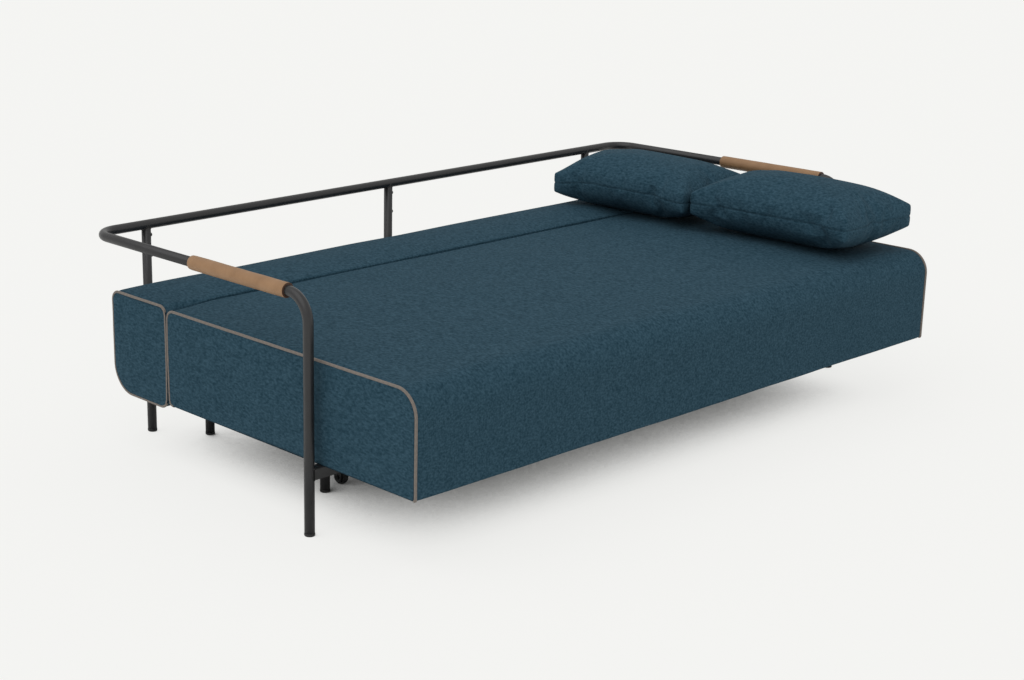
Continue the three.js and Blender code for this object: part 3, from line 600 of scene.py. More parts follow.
for node in [name for name in nodes if name.startswith("foot_")]:
    low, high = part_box(node)
    centre = (low + high) / 2
    radius = (high.x - low.x) / 2
    tube_end = arm_low.z
    profile = [(0, 0)]
    for step in range(FOOT_ARC_STEPS + 1):
        angle = math.pi / 2 * step / FOOT_ARC_STEPS
        profile.append((radius - FOOT_EDGE * (1 - math.sin(angle)), FOOT_EDGE * (1 - math.cos(angle))))
    profile += [(radius, tube_end - FOOT_CHAMFER), (radius - FOOT_CHAMFER, tube_end), (0, tube_end)]
    ground = (centre.x, centre.y, 0)
    foot = turn_profile(f"{node}_moulding", profile, ground, (0, 0, 1), TUBE_SIDES, moulded_plastic)
    place_in_frame(foot, node, "frame")

# %% [markdown]
# A sleeve is a strip of thick leather wrapped round the arm and stitched along its underside. The tube of
# leather is turned from a profile with a soft rear edge and a square burnished front edge, and a slow noise
# leaves it slightly uneven, as hand-wrapped leather is.

# %% Arm sleeves
SLEEVE_SIDES = 72
SLEEVE_ROWS = 90
SLEEVE_SOFT_EDGE = 3.5 * MM
SLEEVE_UNEVEN = 0.35 * MM
SLEEVE_UNEVEN_SCALE = 22.0
SLEEVE_SEAM = 1.3 * MM
SLEEVE_SEAM_DEPTH = 0.5 * MM
SLEEVE_CUT = [(1 * MM, 0), (0.3 * MM, 0.3 * MM), (0, 1 * MM)]  # inside the leather's face, and back
SLEEVE_ARC_STEPS = 4

for side, sign in (("left", -1), ("right", 1)):
    low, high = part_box(f"arm_sleeve_{side}")
    radius = (high.x - low.x) / 2
    length = high.y - low.y
    profile = [(tube_radius, 0)] + [(radius - inside, back) for inside, back in SLEEVE_CUT]
    profile += [(radius, length * (row + 1) / SLEEVE_ROWS) for row in range(SLEEVE_ROWS - 2)]
    for step in range(1, SLEEVE_ARC_STEPS + 1):
        angle = math.pi / 2 * step / SLEEVE_ARC_STEPS
        shrink = SLEEVE_SOFT_EDGE * (1 - math.cos(angle))
        profile.append((radius - shrink, length - SLEEVE_SOFT_EDGE * (1 - math.sin(angle))))
    profile.append((tube_radius, length))
    start = Vector(((low.x + high.x) / 2, low.y, (low.z + high.z) / 2))
    sleeve = turn_profile(f"leather_sleeve_{side}", profile, start, (0, 1, 0), SLEEVE_SIDES, leather)
    edge = sleeve.data.attributes.new("cut_edge", "FLOAT", "POINT")
    values = []
    for vertex in sleeve.data.vertices:
        away = Vector((vertex.co.x - start.x, 0, vertex.co.z - start.z))
        round_from_seam = radius * math.atan2(away.x, -away.z)
        seam_line = math.exp(-((round_from_seam / SLEEVE_SEAM) ** 2))
        if away.length > tube_radius + 1 * MM:
            wobble = noise.noise(vertex.co * SLEEVE_UNEVEN_SCALE + Vector((sign, 0, 0)))
            vertex.co += away.normalized() * wobble * SLEEVE_UNEVEN
            vertex.co -= away.normalized() * seam_line * SLEEVE_SEAM_DEPTH
        at_front = 1.0 if vertex.co.y < low.y + 0.5 * MM else 0.0
        near_rear = 0.35 if vertex.co.y > high.y - 1 * MM else 0.0
        values.append(max(at_front, near_rear, 0.7 * seam_line))
    edge.data.foreach_set("value", values)
    place_in_frame(sleeve, f"arm_sleeve_{side}", "frame")

# %% [markdown]
# The two blocks are foam under a fitted cover. Each cover has a long panel that wraps over the block from
# one end to the other, and two end panels, joined to it by the piping. The cross-section is an outline with
# four rounded corners. It is run along the block, and three things are laid over it: the crown of the
# filling, the pull-in where the panel is sewn to the piping, and the small puckers that the sewing leaves
# beside the seam.

# %% Block shapes
SEAT_RADII = [18 * MM, 7 * MM, 62 * MM, 26 * MM]  # rear bottom, front bottom, front top, rear top
SEAT_RADII_INSIDE = [18 * MM, 7 * MM, 74 * MM, 4 * MM]
BACK_RADII = [77 * MM, 30 * MM, 26 * MM, 26 * MM]
BACK_RADII_INSIDE = [77 * MM, 24 * MM, 4 * MM, 23 * MM]
INSIDE_REACH = 170 * MM
CORNER_STEPS = 12
OUTLINE_SPACING = 11 * MM
LENGTH_SPACING = 9 * MM
CROWN_ALONG_POWER = 12
SEAM_SPACING = 3.0 * MM
SEAM_REACH = 26 * MM
SEAM_PULL = 2.6 * MM
PUCKER_DEPTH = 0.9 * MM
PUCKER_SPACING = 17 * MM
SOFTNESS = 1.8 * MM
SOFTNESS_SCALE = 4.5
END_BULGE = 5 * MM
END_RINGS = [0.012, 0.03] + [ring / 16 for ring in range(1, 16)]
SEAM_SHADE = 3.5 * MM
CROWN = 9 * MM
END_BULGE_CAD = 4 * MM


def smooth(value):
    value = min(max(value, 0), 1)
    return value * value * (3 - 2 * value)


def rounded_rectangle(low, high, radii):
    """Points and outward directions round a rectangle in Y and Z, from its rear bottom corner forwards."""
    corners = [(high[0], low[1]), (low[0], low[1]), (low[0], high[1]), (high[0], high[1])]
    sides = [high[0] - low[0], high[1] - low[1]] * 2
    centres = []
    for (y, z), radius in zip(corners, radii):
        inward_y = radius if y == low[0] else -radius
        inward_z = radius if z == low[1] else -radius
        centres.append(Vector((y + inward_y, z + inward_z)))
    points = []
    directions = []
    for i, (centre, radius) in enumerate(zip(centres, radii)):
        first = math.radians(-90 * i)
        for step in range(CORNER_STEPS + 1):
            angle = first - math.pi / 2 * step / CORNER_STEPS
            directions.append(Vector((math.cos(angle), math.sin(angle))))
            points.append(centre + directions[-1] * radius)
        following = (i + 1) % 4
        goal = centres[following] + directions[-1] * radii[following]
        start = points[-1]
        pieces = round(sides[i] / OUTLINE_SPACING)
        for step in range(1, pieces):
            points.append(start.lerp(goal, step / pieces))
            directions.append(directions[-1])
    return points, directions


def pucker(distance_round, depth_from_seam, seed):
    """The sewing's small folds: strong at the seam, gone a hand's breadth away."""
    wave = noise.noise(Vector((distance_round / PUCKER_SPACING, seed, 0)))
    return PUCKER_DEPTH * wave * math.exp(-depth_from_seam / (SEAM_REACH / 2))


def soft_block(name, node, radii, radii_inside, still_faces, seed):
    """A block whose crown, softness and corners vary along it. still_faces are directions that stay flat."""
    low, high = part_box(node)
    bottom = low.z
    top = high.z - CROWN
    half_length = high.x - END_BULGE_CAD
    ends, ends_outward = rounded_rectangle((low.y, bottom), (high.y, top), radii)
    inside, inside_outward = rounded_rectangle((low.y, bottom), (high.y, top), radii_inside)
    count = len(ends)
    travelled = [0.0]
    for a, b in zip(ends, ends[1:]):
        travelled.append(travelled[-1] + (b - a).length)
    near_seam = [SEAM_SPACING * i for i in range(round(SEAM_REACH / SEAM_SPACING))]
    inner = half_length - SEAM_REACH
    rows = round(2 * inner / LENGTH_SPACING)
    stations = [-half_length + distance for distance in near_seam]
    stations += [-inner + 2 * inner * i / rows for i in range(rows + 1)]
    stations += [half_length - distance for distance in reversed(near_seam)]
    middle = Vector(((low.y + high.y) / 2, (bottom + top) / 2))

    def surface(x, i):
        from_seam = half_length - abs(x)
        share_inside = smooth(from_seam / INSIDE_REACH)
        point = ends[i].lerp(inside[i], share_inside)
        outward = ends_outward[i].lerp(inside_outward[i], share_inside).normalized()
        share = (point.x - low.y) / (high.y - low.y)
        crown_along = math.sqrt(max(1 - abs(x / half_length) ** CROWN_ALONG_POWER, 0))
        crown_across = 1 - (2 * share - 1) ** 2
        upper = smooth((point.y - middle.y) / (top - middle.y))
        rise = CROWN * crown_across * crown_along * upper
        pull = SEAM_PULL * math.exp(-((from_seam / (SEAM_REACH / 2.5)) ** 2))
        folds = pucker(travelled[i], from_seam, seed + (7 if x > 0 else 0))
        spot = Vector((x, point.x, point.y)) * SOFTNESS_SCALE + Vector((seed, 0, 0))
        slack = SOFTNESS * noise.noise(spot)
        slack *= min(1, from_seam / (4 * SEAM_REACH))
        for still, push in still_faces:
            flat = smooth((outward.dot(Vector(still)) - 0.7) / 0.3)
            slack *= 1 - flat
            folds *= 1 - flat
            pull = pull * (1 - flat) - push * flat
        out = outward * (slack + folds - pull)
        return Vector((x, point.x + out.x, point.y + out.y + rise))

    points = [surface(x, i) for x in stations for i in range(count)]
    # The seam values paint shade on the cover along each seam, where the recess beside the piping lies in
    # shadow.
    painted_seam_shade = []
    for x in stations:
        painted_seam_shade += [math.exp(-(((half_length - abs(x)) / SEAM_SHADE) ** 2))] * count
    faces = []
    for row in range(len(stations) - 1):
        for i in range(count):
            k = (i + 1) % count
            here, there = row * count, (row + 1) * count
            faces.append((here + i, here + k, there + k, there + i))
    # The end panels: rings that shrink from the seam to the panel's middle, and swell as they go.
    for sign, row in ((-1, 0), (1, len(stations) - 1)):
        edge = [points[row * count + i] for i in range(count)]
        last = [row * count + i for i in range(count)]
        for share in END_RINGS:
            shrink = 1 - share
            swell = END_BULGE * (1 - shrink**2.2)
            new = []
            for i in range(count):
                y = middle.x + (edge[i].y - middle.x) * shrink
                z = middle.y + (edge[i].z - middle.y) * shrink
                depth = math.hypot(edge[i].y - y, edge[i].z - z)
                folds = pucker(travelled[i], depth, seed + 20 + sign)
                uneven = SOFTNESS * noise.noise(Vector((sign, y, z)) * 2 * SOFTNESS_SCALE)
                uneven *= math.sin(math.pi * share)
                new.append(len(points))
                points.append(Vector((sign * (half_length + swell + folds + uneven), y, z)))
                painted_seam_shade.append(math.exp(-((depth / SEAM_SHADE) ** 2)))
            for i in range(count):
                k = (i + 1) % count
                quad = (last[i], new[i], new[k], last[k])
                faces.append(quad if sign > 0 else tuple(reversed(quad)))
            last = new
        points.append(Vector((sign * (half_length + END_BULGE), middle.x, middle.y)))
        painted_seam_shade.append(0.0)
        for i in range(count):
            k = (i + 1) % count
            fan = (last[i], len(points) - 1, last[k])
            faces.append(fan if sign > 0 else tuple(reversed(fan)))
    piece = make_piece(name, points, faces, fabric)
    piece.data.attributes.new("seam", "FLOAT", "POINT").data.foreach_set("value", painted_seam_shade)
    mesh = bmesh.new()
    mesh.from_mesh(piece.data)
    bmesh.ops.recalc_face_normals(mesh, faces=mesh.faces)
    mesh.to_mesh(piece.data)
    mesh.free()
    print(name, len(faces), "faces, half length", round(half_length, 3))
    return piece


# %% [markdown]
# The seat block lies on runners; its base board is let into its underside, so the cover's bottom stays a
# hair above the board there. The back block's cover goes right round, over the board inside.

# %% Seat and back blocks
DOWN, FORWARD, BACKWARD = (0, -1), (-1, 0), (1, 0)

seat = soft_block(
    "seat_block_cover",
    "seat_upholstery",
    SEAT_RADII,
    SEAT_RADII_INSIDE,
    [(DOWN, -1.0 * MM), (BACKWARD, 1.1 * MM)],
    1,
)
place_in_frame(seat, "seat_upholstery", "seat")
back = soft_block(
    "back_block_cover",
    "back_upholstery",
    BACK_RADII,
    BACK_RADII_INSIDE,
    [(FORWARD, 1.1 * MM), (BACKWARD, 0.15 * MM), (DOWN, 0.0)],
    2,
)
place_in_frame(back, "back_upholstery", "back")

# %% [markdown]
# The piping lies in the seam between the long panel and each end panel. On the seat it starts under the
# front edge, goes up the front, over the top and down the rear. On the back it goes all the way round. A
# cord sewn in by hand wanders a little, so its line gets a wave of a few tenths of a millimetre. Blender
# shifts that vector noise by offsets drawn from the clock, so the draw is seeded, or each run would sew the
# cords another way. Where the blocks face each other, their cords bow towards one another and nearly touch
# halfway up.

# %% Piping
PIPING_RADIUS = 3.5 * MM
PIPING_SIDES = 14
PIPING_SPACING = 12 * MM
PIPING_WANDER = 0.35 * MM
PIPING_WANDER_SCALE = 18.0
PIPING_BOW = 2.4 * MM
PIPING_TOUCH = 0.6
PIPING_PROUD = 1.6 * MM
PIPING_OVERLAP = 1 * MM
PIPING_SEED = 1

noise.seed_set(PIPING_SEED)


def fine_line(points, spacing):
    """The same line with its long runs cut into short ones."""
    fine = []
    for a, b in zip(points, points[1:]):
        pieces = max(1, round((b - a).length / spacing))
        fine += [a.lerp(b, step / pieces) for step in range(pieces)]
    return fine + [points[-1]]


def piping(name, node, body, radii, all_round):
    low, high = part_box(node)
    x = (low.x + high.x) / 2
    front, rear = low.y + PIPING_RADIUS, high.y - PIPING_RADIUS
    bottom, top = low.z + PIPING_RADIUS, high.z - PIPING_RADIUS
    shrink = PIPING_RADIUS - PIPING_PROUD
    bends = [max(radius - shrink, 2 * PIPING_RADIUS) for radius in radii]
    rear_bottom, front_bottom, front_top, rear_top = bends
    if all_round:
        start = (front + rear) / 2
        end = start + PIPING_OVERLAP
    else:
        start = front + front_bottom * 0.6
        end = rear - rear_bottom * 1.2
        front_bottom *= 0.5
    corners = [(start, bottom), (front, bottom), (front, top), (rear, top), (rear, bottom), (end, bottom)]
    line = bent_line([(x, y, z) for y, z in corners], [front_bottom, front_top, rear_top, rear_bottom])
    line = fine_line(line, PIPING_SPACING)
    facing = front if all_round else rear
    away = 1 if all_round else -1
    for point in line:
        wander = noise.noise_vector(point * PIPING_WANDER_SCALE + Vector((x, 0, 0)))
        point += wander * PIPING_WANDER
        if abs(point.y - facing) < PIPING_RADIUS:
            touch = PIPING_TOUCH * top + (1 - PIPING_TOUCH) * bottom
            off_middle = 2 * (point.z - touch) / (top - bottom)
            point.y += away * PIPING_BOW * min(off_middle**2, 1)
    cord = sweep(name, line, PIPING_RADIUS, PIPING_SIDES, piping_cloth)
    place_in_frame(cord, node, body)


for side in ("left", "right"):
    piping(f"seat_piping_cord_{side}", f"seat_piping_{side}", "seat", SEAT_RADII, False)
    piping(f"back_piping_cord_{side}", f"back_piping_{side}", "back", BACK_RADII, True)

# %% [markdown]
# The pillows are cut from two panels whose corners are boxed, so each corner ends in a short upright edge
# instead of a point. Cloth knows how such a case fills, so the shape is simulated: a flat case is blown up
# by pressure, and the cloth pulls its sides in and creases by itself. It is then set to the size that the
# frame gives, pressed flat where it lies, and given its seam round the middle.

# %% Pillows
CASE_THICKNESS = 84 * MM
CASE_SPREAD_SHARE = 1.10
VOXEL = 7 * MM
SIM_FRAMES = 20
CASE_CLOTH = {
    "quality": 6,
    "mass": 0.3,
    "tension_stiffness": 25,
    "compression_stiffness": 20,
    "shear_stiffness": 8,
    "bending_stiffness": 1.2,
    "use_pressure": True,
    "uniform_pressure_force": 4.0,
}
PRESSED = 7 * MM
PRESSED_SHARE = 0.12
SEAM_WIDTH = 2.8 * MM
SEAM_DEPTH = 2.2 * MM
SEAM_WANDER = 3 * MM
SEAM_SHADE_PILLOW = 0.38
GATHER = 0.9 * MM
GATHER_REACH = 16 * MM
PILLOW_CORNER = 14 * MM
TIP_REACH = 110 * MM
CREASE_CALMING = 8


def case_outline(half_x, half_y, corner, steps=6):
    points = []
    for i, (sx, sy) in enumerate(((1, 1), (-1, 1), (-1, -1), (1, -1))):
        for step in range(steps + 1):
            angle = math.pi / 2 * (i + step / steps)
            x = sx * (half_x - corner) + corner * math.cos(angle)
            y = sy * (half_y - corner) + corner * math.sin(angle)
            points.append((x, y))
    return points


def blown_case(name, half_x, half_y):
    """The filled case about the origin: a flat case that cloth simulation has blown up."""
    outline = case_outline(half_x, half_y, PILLOW_CORNER)
    count = len(outline)
    points = [(x, y, z) for z in (-CASE_THICKNESS / 2, CASE_THICKNESS / 2) for x, y in outline]
    faces = [(i, (i + 1) % count, count + (i + 1) % count, count + i) for i in range(count)]
    faces.append(tuple(reversed(range(count))))
    faces.append(tuple(range(count, 2 * count)))
    case = make_piece(name, points, faces, fabric)
    remesh = case.modifiers.new("even_mesh", "REMESH")
    remesh.mode = "VOXEL"
    remesh.voxel_size = VOXEL
    settle(case)
    cloth = case.modifiers.new("cloth", "CLOTH")
    for setting, value in CASE_CLOTH.items():
        setattr(cloth.settings, setting, value)
    cloth.settings.effector_weights.gravity = 0
    cloth.point_cache.frame_end = SIM_FRAMES
    for step in range(1, SIM_FRAMES + 1):
        bpy.context.scene.frame_set(step)
    settle(case)
    bpy.context.scene.frame_set(1)
    return case


def settle(piece):
    """Applies what is on a piece and leaves a plain mesh."""
    graph = bpy.context.evaluated_depsgraph_get()
    mesh = bpy.data.meshes.new_from_object(piece.evaluated_get(graph))
    piece.modifiers.clear()
    piece.data = mesh
    mesh.materials.clear()
    mesh.materials.append(fabric)
    mesh.polygons.foreach_set("use_smooth", [True] * len(mesh.polygons))


def pillow(name, node, body, height_share, tips, seed):
    """A filled case in the node's place. tips says how far the corner at each pair of sides is pulled in."""
    low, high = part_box(node)
    half_x, half_y, half_z = (high - low) / 2
    half_z *= height_share
    centre = Vector(((low.x + high.x) / 2, (low.y + high.y) / 2, low.z + half_z))
    maker = blown_case
    piece = maker(name, half_x * CASE_SPREAD_SHARE, half_y * CASE_SPREAD_SHARE)
    mesh = piece.data
    co = np.empty(len(mesh.vertices) * 3)
    mesh.vertices.foreach_get("co", co)
    co = co.reshape(-1, 3)
    spread = co.max(0) - co.min(0)
    print(name, "before it is set to size, mm:", [round(value / MM) for value in spread])
    co -= (co.max(0) + co.min(0)) / 2
    co *= np.array([half_x, half_y, half_z]) * 2 / spread
    mesh.vertices.foreach_set("co", co.ravel())
    mesh.update()
    calm = piece.modifiers.new("calmer_creases", "SMOOTH")
    calm.factor = 0.5
    calm.iterations = CREASE_CALMING
    fine = piece.modifiers.new("finer", "SUBSURF")
    fine.levels = fine.render_levels = 1
    settle(piece)
    mesh = piece.data
    painted_seam_shade = []
    for vertex in mesh.vertices:
        point = vertex.co.copy()
        at_side = smooth((math.hypot(point.x / half_x, point.y / half_y) - 0.6) / 0.25)
        around = math.atan2(point.y / half_y, point.x / half_x)
        wave = noise.noise(Vector((math.cos(around) * 4, math.sin(around) * 4, seed)))
        line = point.z - SEAM_WANDER * wave
        groove = math.exp(-((line / SEAM_WIDTH) ** 2)) * at_side
        ripple = noise.noise(Vector((math.cos(around) * 14, math.sin(around) * 14, seed + 5)))
        gather = GATHER * ripple * math.exp(-abs(line) / GATHER_REACH) * at_side
        outward = Vector((point.x / half_x**2, point.y / half_y**2, 0))
        if outward.length > 0:
            point += outward.normalized() * (gather - SEAM_DEPTH * groove)
        for (side_x, side_y), shift in tips.items():
            away = math.hypot(point.x - side_x * half_x, point.y - side_y * half_y)
            point += Vector(shift) * MM * math.exp(-((away / TIP_REACH) ** 2))
        lowest = -half_z + PRESSED
        if point.z < lowest:
            point.z = lowest - (lowest - point.z) * PRESSED_SHARE
        vertex.co = centre + point
        # The seam values paint shade into the seam groove round the pillow's middle.
        painted_seam_shade.append(SEAM_SHADE_PILLOW * math.exp(-((line / (0.6 * SEAM_WIDTH)) ** 2)) * at_side)
    drop = min(vertex.co.z for vertex in mesh.vertices) - low.z
    for vertex in mesh.vertices:
        vertex.co.z -= drop
    mesh.attributes.new("seam", "FLOAT", "POINT").data.foreach_set("value", painted_seam_shade)
    mesh.update()
    place_in_frame(piece, node, body)


pillow(
    "pillow_cover_rear",
    "pillow_rear",
    "pillow_rear",
    0.95,
    {(-1, 1): (6, -22, -16), (-1, -1): (0, 0, -4), (1, 1): (0, -8, 0)},
    3.0,
)
pillow(
    "pillow_cover_front",
    "pillow_front",
    "pillow_front",
    1.0,
    {(-1, 1): (8, 0, -4), (1, -1): (-10, 6, 0), (-1, -1): (4, 6, 0)},
    8.0,
)

# %% [markdown]
# The castor wheels are small: a hard hub with a softer tread moulded on. Each is turned from one profile on
# its axle line and rides on its own body.

# %% Castor wheels
WHEEL_SIDES = 64
WHEEL_ARC_STEPS = 8
TREAD_EDGE = 3 * MM
HUB_PROUD = 0.7 * MM
HUB_FACE = [(3.1, 0.7), (7.5, 0.7), (8, 0), (8.6, -2.6), (13, -3), (14, -0.4)]  # mm from the bore

for side in ("left", "right"):
    low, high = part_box(f"castor_wheel_{side}")
    centre = (low + high) / 2
    radius = (high.z - low.z) / 2
    half_width = (high.x - low.x) / 2 - HUB_PROUD
    face = [(across * MM, half_width + rise * MM) for across, rise in HUB_FACE]
    face.append((radius - TREAD_EDGE, half_width))
    profile = [(across, -height) for across, height in face]
    for step in range(WHEEL_ARC_STEPS + 1):
        angle = math.pi * step / WHEEL_ARC_STEPS
        edge = TREAD_EDGE * math.sin(angle)
        profile.append((radius - TREAD_EDGE + edge, -(half_width - edge) * math.cos(angle)))
    profile += face[::-1] + profile[:1]
    wheel = turn_profile(f"castor_tread_{side}", profile, centre, (1, 0, 0), WHEEL_SIDES, wheel_rubber)
    place_in_frame(wheel, f"castor_wheel_{side}", f"castor_{side}")

# %% [markdown]
# Weld beads, stitches, staples and screws are small parts repeated along lines or set at points. Geometry
# Nodes do this best: the tree puts a copy of one small part at every point, turns it with the line, varies
# its size a little, then makes the copies real and gives them their finish. One tree follows a line at a
# spacing, and its twin takes the points as they are. The result is turned into a plain mesh, and the
# modifier goes.

# %% Repeating along a line


def repeating_tree(name, along_line):
    tree = bpy.data.node_groups.new(name, "GeometryNodeTree")
    kinds = {"Geometry": "Geometry", "Part": "Object", "Finish": "Material", "Seed": "Int"}
    for socket in ("Geometry", "Part", "Finish", "Seed", "Spacing", "Slant", "Unevenness"):
        kind = "NodeSocket" + kinds.get(socket, "Float")
        tree.interface.new_socket(socket, in_out="INPUT", socket_type=kind)
    tree.interface.new_socket("Geometry", in_out="OUTPUT", socket_type="NodeSocketGeometry")
    inputs = add(tree, "NodeGroupInput").outputs
    part = add(tree, "GeometryNodeObjectInfo", {"Object": inputs["Part"]})
    smallest = maths(tree, "SUBTRACT", 1.0, inputs["Unevenness"])
    largest = maths(tree, "ADD", 1.0, inputs["Unevenness"])
    size = add(tree, "FunctionNodeRandomValue", {2: smallest, 3: largest, "Seed": inputs["Seed"]})
    slant = add(tree, "ShaderNodeCombineXYZ", {"Z": inputs["Slant"]})
    copies = {"Instance": part.outputs["Geometry"], "Scale": size.outputs[1]}
    if along_line:
        line = add(tree, "GeometryNodeMeshToCurve", {"Mesh": inputs["Geometry"]})
        spaced = {"Curve": line.outputs["Curve"], "Length": inputs["Spacing"]}
        points = add(tree, "GeometryNodeCurveToPoints", spaced, mode="LENGTH")
        tangent = {"Vector": points.outputs["Tangent"]}
        turned = add(tree, "FunctionNodeAlignRotationToVector", tangent, axis="X")
        turns = {"Rotation": turned.outputs["Rotation"], "Rotate By": slant.outputs["Vector"]}
        slanted = add(tree, "FunctionNodeRotateRotation", turns, rotation_space="LOCAL")
        copies.update({"Points": points.outputs["Points"], "Rotation": slanted.outputs["Rotation"]})
    else:
        copies.update({"Points": inputs["Geometry"], "Rotation": slant.outputs["Vector"]})
    placed = add(tree, "GeometryNodeInstanceOnPoints", copies)
    real = add(tree, "GeometryNodeRealizeInstances", {"Geometry": placed.outputs["Instances"]})
    finished = {"Geometry": real.outputs["Geometry"], "Material": inputs["Finish"]}
    dressed = add(tree, "GeometryNodeSetMaterial", finished)
    add(tree, "NodeGroupOutput", {"Geometry": dressed.outputs["Geometry"]})
    return tree


line_tree = repeating_tree("repeat_along_line", True)
point_tree = repeating_tree("repeat_at_points", False)


def repeated(name, lines, tree, part, finish, body, slot, **sizes):
    """Copies of a part along open lines, each a list of points, or at every point of them."""
    points = [tuple(point) for line in lines for point in line]
    edges = []
    start = 0
    for line in lines:
        edges += [(start + i, start + i + 1) for i in range(len(line) - 1)]
        start += len(line)
    mesh = bpy.data.meshes.new(name)
    mesh.from_pydata(points, edges, [])
    piece = bpy.data.objects.new(name, mesh)
    bpy.context.scene.collection.objects.link(piece)
    modifier = piece.modifiers.new("repeat", "NODES")
    modifier.node_group = tree
    values = {"Part": part, "Finish": finish, "Seed": 3, "Spacing": 1.0, "Slant": 0.0, "Unevenness": 0.0}
    values.update(sizes)
    for item in tree.interface.items_tree:
        if item.in_out == "INPUT" and item.name in values:
            modifier[item.identifier] = values[item.name]
    graph = bpy.context.evaluated_depsgraph_get()
    plain = bpy.data.meshes.new_from_object(piece.evaluated_get(graph))
    piece.modifiers.clear()
    piece.data = plain
    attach(piece, body)
    print(name, len(plain.polygons), "faces")
    return piece


def round_bar(name, radius, length, material):
    """A short bar with blunt ends along X: a stitch, or the crown of a staple."""
    half = length / 2
    profile = [(0, -half), (0.8 * radius, 0.6 * radius - half), (radius, 1.6 * radius - half)]
    profile += [(radius, half - 1.6 * radius), (0.8 * radius, half - 0.6 * radius), (0, half)]
    return turn_profile(name, profile, (0, 0, 0), (1, 0, 0), 8, material)


# %% [markdown]
# The frame is welded where tubes and bars meet. A good bead looks like a row of overlapping coins, so small
# drops are set closer together than they are wide. Under the rail a bead follows the saddle where two round
# tubes of one size meet. On the bars it lies in the corners that a torch can reach.

# %% Weld beads
DROP_RADIUS = 1.7 * MM
DROP_SPACING = 1.9 * MM
SADDLE_STEPS = 48
WELD_LOWER = 1.2 * MM  # keeps the front bead under the seat's board
LEG_WELD_SHIFT = 5 * MM


def saddle(x, y):
    """The line round a post where it meets the rail."""
    line = []
    for step in range(SADDLE_STEPS + 1):
        angle = 2 * math.pi * step / SADDLE_STEPS
        across, along = tube_radius * math.sin(angle), tube_radius * math.cos(angle)
        line.append(Vector((x + across, y + along, rail_height - abs(across))))
    return line


def part_circle(reach, toward, z):
    """The line round one side of a tube, to a reach in degrees. toward turns along and out into x and y."""
    angles = [math.radians(degrees) for degrees in range(-reach, reach + 1, 10)]
    return [Vector((*toward(tube_radius * math.sin(a), tube_radius * math.cos(a)), z)) for a in angles]


def upright(x, y, low, high):
    return [Vector((x, y, low + DROP_RADIUS)), Vector((x, y, high - DROP_RADIUS))]


weld_lines = []
stretcher_low, stretcher_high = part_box("rear_stretcher")
for node in [name for name in nodes if name.startswith("rear_post")]:
    low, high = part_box(node)
    centre = (low + high) / 2
    weld_lines.append(saddle(centre.x, centre.y))
    for z in (stretcher_low.z, stretcher_high.z):
        weld_lines.append(part_circle(60, lambda along, out: (centre.x + along, centre.y - out), z))
front_low, front_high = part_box("front_stretcher")
for sign in (-1, 1):
    for z in (front_low.z, front_high.z - WELD_LOWER):
        weld_lines.append(part_circle(75, lambda along, out: (sign * (arm_x - out), leg_y + along), z))
for side in ("left", "right"):
    low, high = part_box(f"guide_rail_{side}")
    for x in (low.x, high.x):
        weld_lines.append(upright(x, low.y, front_low.z, high.z))
        weld_lines.append(upright(x, high.y, low.z, high.z))
    for end in ("front", "rear"):
        leg_low, leg_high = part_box(f"inner_leg_{end}_{side}")
        leg_centre = (leg_low + leg_high) / 2
        face = low.x if abs(leg_centre.x - low.x) < abs(leg_centre.x - high.x) else high.x
        for shift in (-LEG_WELD_SHIFT, LEG_WELD_SHIFT):
            weld_lines.append(upright(face, leg_centre.y + shift, low.z, leg_high.z))
shoulder = 0.87 * DROP_RADIUS
profile = [(0, -DROP_RADIUS), (shoulder, -DROP_RADIUS / 2), (shoulder, DROP_RADIUS / 2), (0, DROP_RADIUS)]
drop = turn_profile("weld_drop", profile, (0, 0, 0), (1, 0, 0), 8, weld_steel)
bead = {"Spacing": DROP_SPACING, "Unevenness": 0.12}
repeated("weld_beads", weld_lines, line_tree, drop, weld_steel, "frame", "frame_paint", **bead)

# %% [markdown]
# Each sleeve is closed under the arm by saddle stitching: two rows of short slanting stitches of waxed
# thread, one on either side of the seam, with the slant that the awl gives.

# %% Sleeve stitches
STITCH_LENGTH = 4.4 * MM
STITCH_THICKNESS = 0.8 * MM
STITCH_SPACING = 6 * MM
STITCH_SLANT = math.radians(22)
STITCH_FROM_SEAM = 3.2 * MM
STITCH_END_GAP = 7 * MM
STITCH_PROUD = 0.2 * MM

stitch = round_bar("one_stitch", STITCH_THICKNESS / 2, STITCH_LENGTH, linen_thread)
for side in ("left", "right"):
    low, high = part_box(f"arm_sleeve_{side}")
    centre = (low + high) / 2
    radius = (high.x - low.x) / 2
    ends = (low.y + STITCH_END_GAP, high.y - STITCH_END_GAP)
    z = centre.z - math.sqrt(radius**2 - STITCH_FROM_SEAM**2) - STITCH_PROUD
    shifts = (-STITCH_FROM_SEAM, STITCH_FROM_SEAM)
    rows = [[Vector((centre.x + shift, y, z)) for y in ends] for shift in shifts]
    sewing = {"Spacing": STITCH_SPACING, "Slant": STITCH_SLANT, "Unevenness": 0.05}
    name = f"sleeve_stitches_{side}"
    repeated(name, rows, line_tree, stitch, linen_thread, "frame", "sleeve_leather", **sewing)

# %% [markdown]
# The dust cover under the seat is held to the base board by wire staples, fired in a hand's breadth apart
# with their crowns along the edge. The gun sinks them, so only a fifth of a millimetre stands out and
# nothing catches below.

# %% Staples
STAPLE_CROWN = 10 * MM
STAPLE_WIRE = 0.45 * MM
STAPLE_SPACING = 52 * MM
STAPLE_INSET = 11 * MM
STAPLE_PROUD = 0.2 * MM

